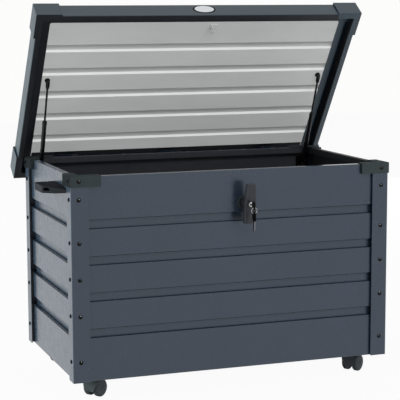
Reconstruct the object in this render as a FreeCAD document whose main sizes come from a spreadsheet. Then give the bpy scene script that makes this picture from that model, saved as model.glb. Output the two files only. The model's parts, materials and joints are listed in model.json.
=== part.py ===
# Garden storage box: ribbed steel walls between corner posts, a framed lid on rear hinges
# and two struts, a keyed turning grip, two moulded side handles and four twin-wheel casters.
# Millimetres, +Z up, front towards -Y, ground at Z = 0. The lid is drawn closed, then opened.

import math
import os

import FreeCAD
import Part
import Sketcher
from FreeCAD import Vector

SIZES = {
    # box walls and corner posts
    "body_width": 944.4,
    "body_depth": 545.2,
    "body_height": 565.0,
    "ground_gap": 60.0,
    "wall_gauge": 0.8,
    "wall_inset": 9.0,
    "wall_tuck": 29.0,
    "wall_tip": 3.0,
    "groove_first": 132.7,
    "groove_pitch": 100.2,
    "groove_height": 24.0,
    "groove_depth": 9.5,
    "hook_reach": 3.0,
    "hook_drop": 5.0,
    "rim_flange": 18.0,
    "rim_lip": 18.0,
    "foot_flange": 18.0,
    "post_gauge": 1.5,
    "post_leg_long": 49.0,
    "post_leg_short": 46.0,
    # plastic caps on the box corners
    "cap_arm_long": 84.0,
    "cap_arm_short": 80.0,
    "cap_proud": 2.5,
    "cap_drop": 28.0,
    "cap_rise": 3.0,
    "cap_cover": 27.5,
    "cap_round": 2.0,
    # screw heads on posts and caps
    "screw_inset": 22.0,
    "screw_radius": 6.0,
    "screw_crown": 3.6,
    "screw_height": 3.0,
    # floor sheet
    "floor_gauge": 1.0,
    "floor_edge": 11.0,
    "floor_notch": 31.0,
    "floor_rib_wide": 40.0,
    "floor_rib_high": 5.0,
    "floor_rib_pitch": 150.0,
    # lid frame
    "lid_width": 990.0,
    "lid_depth": 596.0,
    "lid_base": 600.8,
    "lid_angle": 55.0,
    "rail_height": 52.0,
    "rail_gauge": 1.0,
    "rail_lip": 16.0,
    "rail_top": 25.0,
    "rail_stop": 48.0,
    "ledge_level": 29.0,
    "ledge_reach": 46.0,
    "ledge_reach_front": 44.0,
    "ledge_reach_rear": 70.0,
    "lid_cap_arm_front": 70.0,
    "lid_cap_arm_side": 77.0,
    "lid_cap_proud": 5.0,
    "lid_cap_over": 1.5,
    "lid_cap_under": 1.0,
    # lid panel
    "lid_sheet_gap": 25.5,
    "rib_pitch": 83.8,
    "rib_front": 8.6,
    "rib_crest": 13.4,
    "rib_rear": 17.9,
    "rib_rise": 6.0,
    # hinges
    "hinge_axis_y": 266.8,
    "hinge_axis_z": 570.5,
    "hinge_spacing": 330.0,
    "hinge_width": 60.0,
    "hinge_middle": 30.0,
    "hinge_gap": 0.3,
    "hinge_leaf": 2.0,
    "hinge_drop": 50.0,
    "hinge_foot": 28.0,
    "hinge_barrel": 3.0,
    "hinge_pin": 1.5,
    "running_gap": 0.05,
    # struts
    "strut_plane": 432.0,
    "strut_low_y": 246.0,
    "strut_low_z": 569.0,
    "strut_top_y": -49.0,
    "strut_top_z": 620.8,
    "strut_eye": 7.0,
    "strut_eye_thick": 8.0,
    "strut_pin": 3.0,
    "strut_tube": 6.5,
    "strut_tube_end": 186.0,
    "strut_rod": 3.0,
    "strut_rod_end": 60.0,
    "strut_socket": 6.0,
    # turning grip and lock
    "lock_x": 28.0,
    "lock_z": 533.0,
    "lock_hole": 10.5,
    "lock_spindle": 8.0,
    "lock_tail": 5.0,
    "rosette_radius": 19.5,
    "rosette_thick": 3.0,
    "grip_face": 52.0,
    "grip_thick": 14.0,
    "grip_rake": 7.0,
    "grip_round": 3.0,
    "hub_radius": 13.0,
    "plug_radius": 7.0,
    "cam_length": 83.0,
    "cam_half": 7.0,
    "cam_hook": 16.0,
    "cam_y": -240.0,
    "cam_gauge": 3.0,
    # keys
    "key_gauge": 3.0,
    "key_hole": 3.0,
    "ring_y": -341.0,
    "ring_top": 527.0,
    "ring_radius": 8.0,
    "ring_wire": 1.1,
    # side handles
    "handle_reach": 59.0,
    "handle_low": 571.0,
    "handle_high": 591.0,
    "handle_base_front": -200.0,
    "handle_base_back": -55.0,
    "handle_outer_front": -149.0,
    "handle_outer_back": -61.0,
    "handle_wall": 4.0,
    "handle_round": 9.0,
    "handle_taper": 8.0,
    "handle_solid": 40.0,
    # casters
    "caster_x": 397.0,
    "caster_y": 200.0,
    "caster_turn": 36.0,
    "caster_trail": 8.0,
    "wheel_radius": 25.0,
    "wheel_width": 17.0,
    "wheel_inner": 9.3,
    "axle_radius": 3.0,
    "fender_inner": 26.2,
    "fender_outer": 28.6,
    "skirt_drop": 8.0,
    "skirt_half": 14.0,
    "hood_half": 8.3,
    "plate_side": 42.0,
    "plate_thick": 2.5,
    "kingpin_radius": 5.5,
    "kingpin_depth": 14.0,
    "boss_radius": 12.0,
}


class Size:
    """A length together with the sheet expression that gives it."""

    def __init__(self, value, text):
        self.value = value
        self.text = text

    def __add__(self, other):
        other = size(other)
        return Size(self.value + other.value, f"({self.text} + {other.text})")

    def __sub__(self, other):
        other = size(other)
        return Size(self.value - other.value, f"({self.text} - {other.text})")

    def __mul__(self, other):
        other = size(other)
        return Size(self.value * other.value, f"({self.text} * {other.text})")

    def __truediv__(self, other):
        other = size(other)
        return Size(self.value / other.value, f"({self.text} / {other.text})")

    def __neg__(self):
        return self * -1


def size(amount):
    """Wrap a plain number so that it can stand beside sizes from the sheet."""
    if isinstance(amount, Size):
        return amount
    return Size(float(amount), f"({float(amount)})")


doc = FreeCAD.newDocument("garden_storage_box")
sheet = doc.addObject("Spreadsheet::Sheet", "sizes")
for row, (name, number) in enumerate(SIZES.items(), start=1):
    sheet.set(f"A{row}", name)
    sheet.set(f"B{row}", str(number))
    sheet.setAlias(f"B{row}", name)
doc.recompute()
dim = {name: Size(number, f"sizes.{name}") for name, number in SIZES.items()}
zero = size(0)
nodes = []


def node(label, item):
    """Name a finished sub-part and put it on the list of files to write."""
    item.Label = label
    nodes.append(item)
    return item


def bind(item, prop, amount):
    item.setExpression(prop, size(amount).text)


def outline(body, plane, loops, start):
    """Sketch on one of the body's own planes with every corner tied to the sheet."""
    sketch = body.newObject("Sketcher::SketchObject", "outline")
    support = [item for item in body.Origin.OriginFeatures if item.Role == plane][0]
    sketch.AttachmentSupport = [(support, "")]
    sketch.MapMode = "FlatFace"
    bind(sketch, "AttachmentOffset.Base.z", start)
    for loop in loops:
        first = sketch.GeometryCount
        count = len(loop)
        corners = [Vector(x.value, y.value, 0) for x, y in loop]
        lines = [Part.LineSegment(corners[i], corners[(i + 1) % count]) for i in range(count)]
        sketch.addGeometry(lines)
        rules = []
        for i in range(count):
            rules.append(Sketcher.Constraint("Coincident", first + i, 2, first + (i + 1) % count, 1))
        sketch.addConstraint(rules)
        base = sketch.ConstraintCount
        rules = []
        for i in range(count):
            rules.append(Sketcher.Constraint("DistanceX", first + i, 1, corners[i].x))
            rules.append(Sketcher.Constraint("DistanceY", first + i, 1, corners[i].y))
        sketch.addConstraint(rules)
        for i, (x, y) in enumerate(loop):
            bind(sketch, f"Constraints[{base + 2 * i}]", x)
            bind(sketch, f"Constraints[{base + 2 * i + 1}]", y)
    return sketch


def new_body(name):
    return doc.addObject("PartDesign::Body", name)


def pad(body, plane, loops, start, end):
    """Solid between two levels measured along the world axis across the plane."""
    if plane == "XZ_Plane":
        start, end = -size(end), -size(start)
    feature = body.newObject("PartDesign::Pad", "pad")
    feature.Profile = outline(body, plane, loops, start)
    bind(feature, "Length", size(end) - start)
    body.Tip = feature
    return feature


def pocket(body, plane, loops, start, end):
    """Cut between two levels measured along the world axis across the plane."""
    if plane == "XZ_Plane":
        start, end = -size(end), -size(start)
    feature = body.newObject("PartDesign::Pocket", "pocket")
    feature.Profile = outline(body, plane, loops, end)
    bind(feature, "Length", size(end) - start)
    body.Tip = feature
    return feature


def rounded(body, feature, radius, wanted):
    """Fillet on the edges whose bounding boxes meet a test."""
    doc.recompute()
    names = []
    for index, edge in enumerate(feature.Shape.Edges, start=1):
        if wanted(edge.BoundBox):
            names.append(f"Edge{index}")
    fillet = body.newObject("PartDesign::Fillet", "fillet")
    fillet.Base = (feature, names)
    bind(fillet, "Radius", radius)
    body.Tip = fillet
    return fillet


def block(xs, ys, zs):
    """Box between pairs of coordinates."""
    item = doc.addObject("Part::Box", "block")
    for prop, axis, (low, high) in (("Length", "x", xs), ("Width", "y", ys), ("Height", "z", zs)):
        bind(item, prop, size(high) - low)
        bind(item, f"Placement.Base.{axis}", low)
    return item


TURNS = {
    "+x": FreeCAD.Rotation(Vector(0, 1, 0), 90),
    "-x": FreeCAD.Rotation(Vector(0, 1, 0), -90),
    "+y": FreeCAD.Rotation(Vector(1, 0, 0), -90),
    "-y": FreeCAD.Rotation(Vector(1, 0, 0), 90),
    "+z": FreeCAD.Rotation(),
}


def stand(item, base, way):
    """Put a turned primitive at a point with its axis along a world direction."""
    item.Placement = FreeCAD.Placement(Vector(), TURNS[way])
    for axis, amount in zip("xyz", base):
        bind(item, f"Placement.Base.{axis}", amount)
    return item


def cylinder(radius, base, way, length):
    item = doc.addObject("Part::Cylinder", "cylinder")
    bind(item, "Radius", radius)
    bind(item, "Height", length)
    return stand(item, base, way)


def fused(items):
    item = doc.addObject("Part::MultiFuse", "fused")
    item.Shapes = items
    return item


def without(base, tools):
    item = doc.addObject("Part::Cut", "trimmed")
    item.Base = base
    item.Tool = tools[0] if len(tools) == 1 else fused(tools)
    return item


def together(items):
    """Separate solids kept side by side in one sub-part."""
    item = doc.addObject("Part::Compound", "together")
    item.Links = items
    return item


def cosine(angle):
    return Size(math.cos(math.radians(angle.value)), f"cos({angle.text} * 1 deg)")


def sine(angle):
    return Size(math.sin(math.radians(angle.value)), f"sin({angle.text} * 1 deg)")


def tilt(item, angle, y, z):
    """Turn an item about an axis along X through a point of the YZ plane."""
    item.Placement = FreeCAD.Placement(Vector(), FreeCAD.Rotation(Vector(1, 0, 0), angle.value))
    bind(item, "Placement.Rotation.Angle", angle)
    bind(item, "Placement.Base.y", y - (y * cosine(angle) - z * sine(angle)))
    bind(item, "Placement.Base.z", z - (y * sine(angle) + z * cosine(angle)))
    return item


def opened(item):
    """Carry a lid piece from the closed place to the open one."""
    return tilt(item, -dim["lid_angle"], dim["hinge_axis_y"], dim["hinge_axis_z"])


def strip(path, gauge):
    """Closed outline of a folded sheet whose outer face follows a square-cornered path."""
    sides = []
    for (ax, ay), (bx, by) in zip(path, path[1:]):
        step_x = bx.value - ax.value
        step_y = by.value - ay.value
        if abs(step_x) > abs(step_y):
            sides.append((0, -1 if step_x > 0 else 1))
        else:
            sides.append((1 if step_y > 0 else -1, 0))
    inner = []
    for index, (x, y) in enumerate(path):
        touching = {sides[max(index - 1, 0)], sides[min(index, len(sides) - 1)]}
        shift_x = sum(side[0] for side in touching)
        shift_y = sum(side[1] for side in touching)
        inner.append((x + gauge * shift_x, y + gauge * shift_y))
    return path + inner[::-1]


def near(a, b):
    return abs(a - b) < 0.01


half_width = dim["body_width"] / 2
half_depth = dim["body_depth"] / 2
low = dim["ground_gap"]
rim = dim["ground_gap"] + dim["body_height"]
CORNERS = (
    ("front_left", -1, -1),
    ("front_right", 1, -1),
    ("back_left", -1, 1),
    ("back_right", 1, 1),
)

# Wall sheets: five boards with four shadow grooves, a foot flange, a rim flange with its
# lip, and at each end a web and a strip that lies behind the post.
gauge = dim["wall_gauge"]
path = [(dim["foot_flange"], zero), (zero, zero)]
for row in range(4):
    middle = dim["groove_first"] + dim["groove_pitch"] * row
    bottom = middle - dim["groove_height"] / 2
    top = middle + dim["groove_height"] / 2
    hook = bottom - dim["hook_drop"]
    path.append((zero, bottom))
    path.append((dim["hook_reach"], bottom))
    path.append((dim["hook_reach"], hook))
    path.append((dim["groove_depth"], hook))
    path.append((dim["groove_depth"], top))
    path.append((zero, top))
path.append((zero, dim["body_height"]))
path.append((dim["rim_flange"], dim["body_height"]))
path.append((dim["rim_flange"], dim["body_height"] - dim["rim_lip"]))
wall_section = strip(path, gauge)


def wall(label, plane, outward, reach, half_span):
    """One wall: reach is centre to post face, half_span centre to the post beside it."""
    body = new_body(label)
    face = reach - dim["wall_inset"]
    section = [((face - depth) * outward, low + height) for depth, height in wall_section]
    end = half_span - dim["wall_tuck"]
    pad(body, plane, [section], -end, end)
    tip = half_span - dim["wall_tip"]
    strip_out = reach - dim["post_gauge"]
    deep = face - dim["groove_depth"] - gauge
    corners = [(end, deep), (end, strip_out), (tip, strip_out)]
    corners += [(tip, strip_out - gauge), (end + gauge, strip_out - gauge), (end + gauge, deep)]
    loops = []
    for side in (-1, 1):
        loop = [(along * side, across * outward) for along, across in corners]
        if plane == "XZ_Plane":
            loop = [(y, x) for x, y in loop]
        loops.append(loop)
    pad(body, "XY_Plane", loops, low, rim)
    return body


front = wall("front_wall", "YZ_Plane", -1, half_depth, half_width)
front_face = -(half_depth - dim["wall_inset"])
lock_spot = (dim["lock_x"], front_face - 5, dim["lock_z"])
node("front_panel", without(front, [cylinder(dim["lock_hole"], lock_spot, "+y", 10)]))
node("back_panel", wall("back_wall", "YZ_Plane", 1, half_depth, half_width))
node("left_panel", wall("left_wall", "XZ_Plane", -1, half_width, half_depth))
node("right_panel", wall("right_wall", "XZ_Plane", 1, half_width, half_depth))

# Floor sheet on the foot flanges, pressed with three flat ribs, corners notched for the webs.
floor_low = low + gauge
floor_y = half_depth - dim["floor_edge"]
floor_x = half_width - dim["floor_edge"]
lower = [(-floor_y, floor_low)]
for place in (-1, 0, 1):
    middle = dim["floor_rib_pitch"] * place
    foot = dim["floor_rib_wide"] / 2
    crest = foot - dim["floor_rib_high"]
    lower.append((middle - foot, floor_low))
    lower.append((middle - crest, floor_low + dim["floor_rib_high"]))
    lower.append((middle + crest, floor_low + dim["floor_rib_high"]))
    lower.append((middle + foot, floor_low))
lower.append((floor_y, floor_low))
upper = [(y, z + dim["floor_gauge"]) for y, z in lower]
floor = new_body("floor_sheet")
pad(floor, "YZ_Plane", [lower + upper[::-1]], -floor_x, floor_x)
notches = []
for corner, side_x, side_y in CORNERS:
    xs = (half_width - dim["floor_notch"], half_width)
    ys = (half_depth - dim["floor_notch"], half_depth)
    order = ((0, 0), (1, 0), (1, 1), (0, 1))
    notches.append([(xs[i] * side_x, ys[j] * side_y) for i, j in order])
pocket(floor, "XY_Plane", notches, low - 5, low + 10)
node("floor_panel", floor)

# Corner posts: folded angles standing outside the wall ends.
for corner, side_x, side_y in CORNERS:
    thick = dim["post_gauge"]
    long_leg = dim["post_leg_long"]
    short_leg = dim["post_leg_short"]
    angle = [(zero, zero), (long_leg, zero), (long_leg, thick)]
    angle += [(thick, thick), (thick, short_leg), (zero, short_leg)]
    post = new_body("angle_" + corner)
    plan = [((half_width - x) * side_x, (half_depth - y) * side_y) for x, y in angle]
    solid = pad(post, "XY_Plane", [plan], low, rim)
    edge_x = half_width.value * side_x
    edge_y = half_depth.value * side_y
    rounded(
        post,
        solid,
        1.2,
        lambda box: near(box.XMin, edge_x) and near(box.XMax, edge_x)
        and near(box.YMin, edge_y) and near(box.YMax, edge_y),
    )
    node("post_" + corner, post)

# Box caps: a skirt round the post top with hooked ends and a plate over the rim.
for corner, side_x, side_y in CORNERS:
    proud = dim["cap_proud"]
    long_arm = dim["cap_arm_long"]
    short_arm = dim["cap_arm_short"]
    inset = dim["wall_inset"]
    cover = dim["cap_cover"]
    skirt = [(-proud, -proud), (long_arm, -proud), (long_arm, inset), (long_arm - proud, inset)]
    skirt += [(long_arm - proud, zero), (zero, zero), (zero, short_arm - proud)]
    skirt += [(inset, short_arm - proud), (inset, short_arm), (-proud, short_arm)]
    plate = [(-proud, -proud), (long_arm, -proud), (long_arm, cover)]
    plate += [(cover, cover), (cover, short_arm), (-proud, short_arm)]
    cap = new_body("cover_" + corner)
    loops = []
    for loop in (skirt, plate):
        loops.append([((half_width - x) * side_x, (half_depth - y) * side_y) for x, y in loop])
    pad(cap, "XY_Plane", [loops[0]], rim - dim["cap_drop"], rim)
    solid = pad(cap, "XY_Plane", [loops[1]], rim, rim + dim["cap_rise"])
    top_z = (rim + dim["cap_rise"]).value
    edge_x = (half_width + proud).value * side_x
    edge_y = (half_depth + proud).value * side_y
    rounded(
        cap,
        solid,
        dim["cap_round"],
        lambda box: (near(box.XMin, edge_x) and near(box.XMax, edge_x) and near(box.ZMin, top_z))
        or (near(box.YMin, edge_y) and near(box.YMax, edge_y) and near(box.ZMin, top_z))
        or (near(box.XMin, edge_x) and near(box.XMax, edge_x)
            and near(box.YMin, edge_y) and near(box.YMax, edge_y)),
    )
    node("cap_" + corner, cap)

# Screw heads: six down each face of every post, the top one on the cap.
SCREW_ROWS = (56.5, 183.5, 284.5, 384.5, 502.5, 552.6)
heads = []
for corner, side_x, side_y in CORNERS:
    for height in SCREW_ROWS:
        stand_off = dim["cap_proud"] if height == SCREW_ROWS[-1] else zero
        along_x = (half_width - dim["screw_inset"]) * side_x
        along_y = (half_depth - dim["screw_inset"]) * side_y
        face_x = (half_width + stand_off) * side_x
        face_y = (half_depth + stand_off) * side_y
        spots = (
            ((along_x, face_y, low + height), "-y" if side_y < 0 else "+y"),
            ((face_x, along_y, low + height), "-x" if side_x < 0 else "+x"),
        )
        for spot, way in spots:
            head = doc.addObject("Part::Cone", "head")
            bind(head, "Radius1", dim["screw_radius"])
            bind(head, "Radius2", dim["screw_crown"])
            bind(head, "Height", dim["screw_height"])
            heads.append(stand(head, spot, way))
node("post_screws", together(heads))

# Side handles: moulded shells, closed above, hollow below for the fingers and tapered to the front.
for label, side in (("left", -1), ("right", 1)):
    face = half_width - dim["wall_inset"]
    wall_thick = dim["handle_wall"]
    reach = dim["handle_reach"]
    outer = [(zero, dim["handle_base_front"]), (reach, dim["handle_outer_front"])]
    outer += [(reach, dim["handle_outer_back"]), (zero, dim["handle_base_back"])]
    hollow = [(wall_thick, dim["handle_base_front"] + dim["handle_solid"])]
    hollow += [(reach - wall_thick, dim["handle_outer_front"] + wall_thick * 0.6)]
    hollow += [(reach - wall_thick, dim["handle_outer_back"] - wall_thick)]
    hollow += [(wall_thick, dim["handle_base_back"] - wall_thick)]
    shell = new_body("shell_" + label)
    plan = [((face + x) * side, y) for x, y in outer]
    solid = pad(shell, "XY_Plane", [plan], dim["handle_low"], dim["handle_high"])
    edge_x = (face + reach).value * side
    solid = rounded(
        shell,
        solid,
        dim["handle_round"],
        lambda box: near(box.XMin, edge_x) and near(box.XMax, edge_x) and near(box.YMin, box.YMax),
    )
    plan = [((face + x) * side, y) for x, y in hollow]
    pocket(shell, "XY_Plane", [plan], dim["handle_low"] - 5, dim["handle_high"] - wall_thick)
    front = dim["handle_base_front"] - 1
    taper = dim["handle_taper"]
    above = dim["handle_high"] + 1
    under = dim["handle_low"] - 1
    over_wedge = [(front, above), (front, dim["handle_high"] - taper), (front + 61, above)]
    under_wedge = [(front, under), (front + 29, under), (front, dim["handle_low"] + taper)]
    ends = sorted(((face - 1) * side, (face + reach + 1) * side), key=lambda end: end.value)
    pocket(shell, "YZ_Plane", [over_wedge], ends[0], ends[1])
    pocket(shell, "YZ_Plane", [under_wedge], ends[0], ends[1])
    node("side_handle_" + label, shell)

# Lid rails: folded channels with a lip below, a top face and an inner ledge for the panel.
lid_half_x = dim["lid_width"] / 2
lid_half_y = dim["lid_depth"] / 2
base = dim["lid_base"]


def rail(label, plane, side, half, half_other, ledge):
    height = dim["rail_height"]
    ledge_level = dim["ledge_level"]
    path = [(dim["rail_lip"], zero), (zero, zero), (zero, height), (dim["rail_top"], height)]
    path += [(dim["rail_top"], ledge_level), (ledge, ledge_level)]
    section = [((half - x) * side, base + z) for x, z in strip(path, dim["rail_gauge"])]
    body = new_body("channel_" + label)
    end = half_other - dim["rail_stop"]
    pad(body, plane, [section], -end, end)
    node("lid_rail_" + label, opened(body))


rail("front", "YZ_Plane", -1, lid_half_y, lid_half_x, dim["ledge_reach_front"])
rail("back", "YZ_Plane", 1, lid_half_y, lid_half_x, dim["ledge_reach_rear"])
rail("left", "XZ_Plane", -1, lid_half_x, lid_half_y, dim["ledge_reach"])
rail("right", "XZ_Plane", 1, lid_half_x, lid_half_y, dim["ledge_reach"])

# Lid caps: a skirt round each frame corner, plates over and under the rails, and inner walls
# that carry the channel section round the corner.
for corner, side_x, side_y in CORNERS:
    long = dim["lid_cap_arm_front"]
    deep = dim["lid_cap_arm_side"]
    proud = dim["lid_cap_proud"]
    lip = dim["rail_lip"]
    cover = dim["rail_top"]
    inner = dim["rail_top"] - dim["rail_gauge"]
    stop = dim["rail_stop"]
    skirt = [(-proud, -proud), (long, -proud), (long, zero), (zero, zero), (zero, deep), (-proud, deep)]
    top = [(zero, zero), (long, zero), (long, cover), (cover, cover), (cover, deep), (zero, deep)]
    under = [(zero, zero), (long, zero), (long, lip), (lip, lip), (lip, deep), (zero, deep)]
    ledge = [(zero, zero), (stop, zero), (stop, stop), (zero, stop)]
    inside = [(inner, inner), (stop, inner), (stop, cover)]
    inside += [(cover, cover), (cover, stop), (inner, stop)]
    level = base + dim["ledge_level"]
    over = base + dim["rail_height"]
    layers = (
        (skirt, base - dim["lid_cap_under"], over + dim["lid_cap_over"]),
        (top, over, over + dim["lid_cap_over"]),
        (under, base - dim["lid_cap_under"], base),
        (ledge, level - dim["rail_gauge"], level),
        (inside, level, over),
    )
    cap = new_body("lid_cover_" + corner)
    for loop, start, end in layers:
        plan = [((lid_half_x - x) * side_x, (lid_half_y - y) * side_y) for x, y in loop]
        solid = pad(cap, "XY_Plane", [plan], start, end)
    edge_x = (lid_half_x + proud).value * side_x
    edge_y = (lid_half_y + proud).value * side_y
    rounded(
        cap,
        solid,
        dim["cap_round"],
        lambda box: near(box.XMin, edge_x) and near(box.XMax, edge_x)
        and near(box.YMin, edge_y) and near(box.YMax, edge_y),
    )
    node("lid_cap_" + corner, opened(cap))

# Lid panel: one sheet on the ledges with five pressed ribs standing up, each with a long curved
# front slope and a short steep rear one.
sheet_half_y = lid_half_y - dim["lid_sheet_gap"]
sheet_low = base + dim["ledge_level"]
front_slope = dim["rib_front"] + dim["rib_crest"]
lower = [(-sheet_half_y, sheet_low)]
for place in (-2, -1, 0, 1, 2):
    middle = dim["rib_pitch"] * place
    front_foot = middle - dim["rib_front"]
    for share, rise in ((0, 0), (0.2, 0.39), (0.5, 0.78), (1, 1)):
        lower.append((front_foot + front_slope * share, sheet_low + dim["rib_rise"] * rise))
    lower.append((middle + dim["rib_rear"], sheet_low))
lower.append((sheet_half_y, sheet_low))
upper = [(y, z + gauge) for y, z in lower]
lid_sheet = new_body("lid_sheet")
sheet_half_x = lid_half_x - dim["lid_sheet_gap"]
pad(lid_sheet, "YZ_Plane", [lower + upper[::-1]], -sheet_half_x, sheet_half_x)
node("lid_panel", opened(lid_sheet))

# Hinges: body leaf with two knuckles, lid leaf with one, and a pin through all three.
axis_y = dim["hinge_axis_y"]
axis_z = dim["hinge_axis_z"]
barrel = dim["hinge_barrel"]
leaf = dim["hinge_leaf"]
bore = dim["hinge_pin"] + dim["running_gap"]
back_face = half_depth - dim["wall_inset"]
ledge_under = base + dim["ledge_level"] - dim["rail_gauge"]
half_leaf = dim["hinge_width"] / 2
half_mid = dim["hinge_middle"] / 2
body_leaves = []
lid_leaves = []
pins = []
for place in (-1, 0, 1):
    middle = dim["hinge_spacing"] * place
    start = middle - half_leaf
    plate_x = (start, middle + half_leaf)
    leaf_y = (back_face, back_face + leaf)
    leaf_top = axis_z - barrel - 1
    pieces = [block(plate_x, leaf_y, (axis_z - dim["hinge_drop"], leaf_top))]
    for left in (start, middle + half_mid):
        span = half_leaf - half_mid
        pieces.append(cylinder(barrel, (left, axis_y, axis_z), "+x", span))
        pieces.append(block((left, left + span), leaf_y, (leaf_top, axis_z)))
    drill = cylinder(bore, (start, axis_y, axis_z), "+x", dim["hinge_width"])
    body_leaves.append(without(fused(pieces), [drill]))
    knuckle_start = middle - half_mid + dim["hinge_gap"]
    knuckle_span = dim["hinge_middle"] - dim["hinge_gap"] * 2
    knuckle = cylinder(barrel, (knuckle_start, axis_y, axis_z), "+x", knuckle_span)
    plate_y = (axis_y - 0.6, axis_y - 0.6 + leaf)
    neck_x = (knuckle_start, knuckle_start + knuckle_span)
    neck = block(neck_x, plate_y, (axis_z, axis_z + barrel + 1))
    riser = block(plate_x, plate_y, (axis_z + barrel + 1, ledge_under))
    foot_y = (axis_y - dim["hinge_foot"], axis_y)
    foot = block(plate_x, foot_y, (ledge_under - leaf, ledge_under))
    drill = cylinder(bore, (start, axis_y, axis_z), "+x", dim["hinge_width"])
    lid_leaves.append(without(fused([knuckle, neck, riser, foot]), [drill]))
    pins.append(cylinder(dim["hinge_pin"], (start, axis_y, axis_z), "+x", dim["hinge_width"]))
node("hinge_body_leaves", together(body_leaves))
node("hinge_lid_leaves", opened(together(lid_leaves)))
node("hinge_pins", together(pins))

# Strut brackets: plates on the back wall with an ear and a pin, and round feet with short studs
# under the lid.
plane = dim["strut_plane"]
eye_half = dim["strut_eye_thick"] / 2
back_inner = back_face - gauge
low_y = dim["strut_low_y"]
low_z = dim["strut_low_z"]
top_y = dim["strut_top_y"]
top_z = dim["strut_top_z"]


def mirrored_pair(low_x, high_x, side):
    """Order two distances from the middle plane as coordinates on one side."""
    return (low_x, high_x) if side > 0 else (-high_x, -low_x)


lower_brackets = []
upper_brackets = []
for side, way in ((-1, "-x"), (1, "+x")):
    plate_x = mirrored_pair(plane - 16, plane + 9, side)
    plate = block(plate_x, (back_inner - 2, back_inner), (low_z - 26, low_z + 26))
    ear_in = plane + eye_half + 1
    ear_x = mirrored_pair(ear_in, ear_in + 2.5, side)
    ear = block(ear_x, (low_y - 9, back_inner - 1), (low_z - 10, low_z + 10))
    inner_end = plane - eye_half - 1
    pin = cylinder(dim["strut_pin"], (inner_end * side, low_y, low_z), way, ear_in + 1 - inner_end)
    lower_brackets.append(fused([plate, ear, pin]))
    foot = cylinder(8, (plane * side, top_y, sheet_low - 2), "+z", 2)
    stud_low = top_z + dim["strut_socket"] + 0.5
    stud = cylinder(3.5, (plane * side, top_y, stud_low), "+z", sheet_low - stud_low)
    upper_brackets.append(fused([foot, stud]))
node("strut_lower_brackets", together(lower_brackets))
node("strut_upper_brackets", opened(together(upper_brackets)))

# Struts: a tube on the lower pin and a rod that slides in it towards the lid stud.
lid_turn = -dim["lid_angle"]
reach_y = top_y - axis_y
reach_z = top_z - axis_z
open_y = axis_y + reach_y * cosine(lid_turn) - reach_z * sine(lid_turn)
open_z = axis_z + reach_y * sine(lid_turn) + reach_z * cosine(lid_turn)
span_y = open_y - low_y
span_z = open_z - low_z
strut_length = math.hypot(span_y.value, span_z.value)
strut_turn = math.degrees(math.atan2(-span_y.value, span_z.value))


def along_strut(item):
    """Move a piece drawn up the Z axis from the origin onto the strut line."""
    place = FreeCAD.Placement(Vector(item_side * plane.value, low_y.value, low_z.value),
                              FreeCAD.Rotation(Vector(1, 0, 0), strut_turn))
    item.Placement = place
    return item


for label, item_side in (("left", -1), ("right", 1)):
    eye_start = (-eye_half, zero, zero)
    eye = cylinder(dim["strut_eye"], eye_start, "+x", dim["strut_eye_thick"])
    neck = cylinder(dim["strut_rod"] + 0.6, (zero, zero, zero), "+z", 24)
    tube = cylinder(dim["strut_tube"], (zero, zero, size(20)), "+z", dim["strut_tube_end"] - 20)
    eye_bore = cylinder(dim["strut_pin"] + dim["running_gap"], (-eye_half - 1, zero, zero), "+x",
                        dim["strut_eye_thick"] + 2)
    rod_bore = cylinder(dim["strut_rod"] + dim["running_gap"], (zero, zero, size(30)), "+z",
                        dim["strut_tube_end"])
    cylinder_piece = without(fused([eye, neck, tube]), [eye_bore, rod_bore])
    node("strut_cylinder_" + label, along_strut(cylinder_piece))
    rod_low = dim["strut_rod_end"]
    rod = cylinder(dim["strut_rod"], (zero, zero, rod_low), "+z", size(strut_length) - rod_low)
    socket_start = (-eye_half, zero, size(strut_length))
    socket = cylinder(dim["strut_socket"], socket_start, "+x", dim["strut_eye_thick"])
    shank = cylinder(dim["strut_rod"] + 0.6, (zero, zero, size(strut_length - 22)), "+z", 22)
    node("strut_rod_" + label, along_strut(fused([rod, socket, shank])))

# Turning grip: a raked bar on a hub, its spindle through the front wall, and a cam inside
# that swings up into the keeper under the lid.
lock_x = dim["lock_x"]
lock_z = dim["lock_z"]
grip_front = front_face - dim["grip_face"]
grip_back = grip_front + dim["grip_thick"]
right_edge = [(14, -54), (17, -50), (17.5, -8), (17, 6), (13, 54), (10, 58)]
profile = right_edge + [(-x, z) for x, z in right_edge[::-1]]
bar = new_body("grip_bar")
solid = pad(bar, "XZ_Plane", [[(lock_x + x, lock_z + z) for x, z in profile]], grip_front, grip_back)
front_y = grip_front.value
back_y = grip_back.value
rounded(bar, solid, dim["grip_round"], lambda box: near(box.YMin, front_y) and near(box.YMax, front_y)
        or near(box.YMin, back_y) and near(box.YMax, back_y))
tilt(bar, dim["grip_rake"], grip_back, lock_z)
rosette_front = front_face - dim["rosette_thick"]
hub_start = rosette_front - 0.3
hub = cylinder(dim["hub_radius"], (lock_x, grip_front + 4, lock_z), "+y", hub_start - grip_front - 4)
barrel_nose = cylinder(dim["hub_radius"] - 2, (lock_x, grip_front - 2.5, lock_z), "+y", 10)
cam_y = dim["cam_y"]
spindle = cylinder(dim["lock_spindle"], (lock_x, hub_start - 1, lock_z), "+y", cam_y - hub_start + 1)
tail = cylinder(dim["lock_tail"], (lock_x, cam_y - 1, lock_z), "+y", 7)
plug_bore = cylinder(dim["plug_radius"] + dim["running_gap"], (lock_x, grip_front - 8, lock_z), "+y", 28)
node("lock_handle", without(fused([bar, hub, barrel_nose, spindle, tail]), [plug_bore]))

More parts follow.
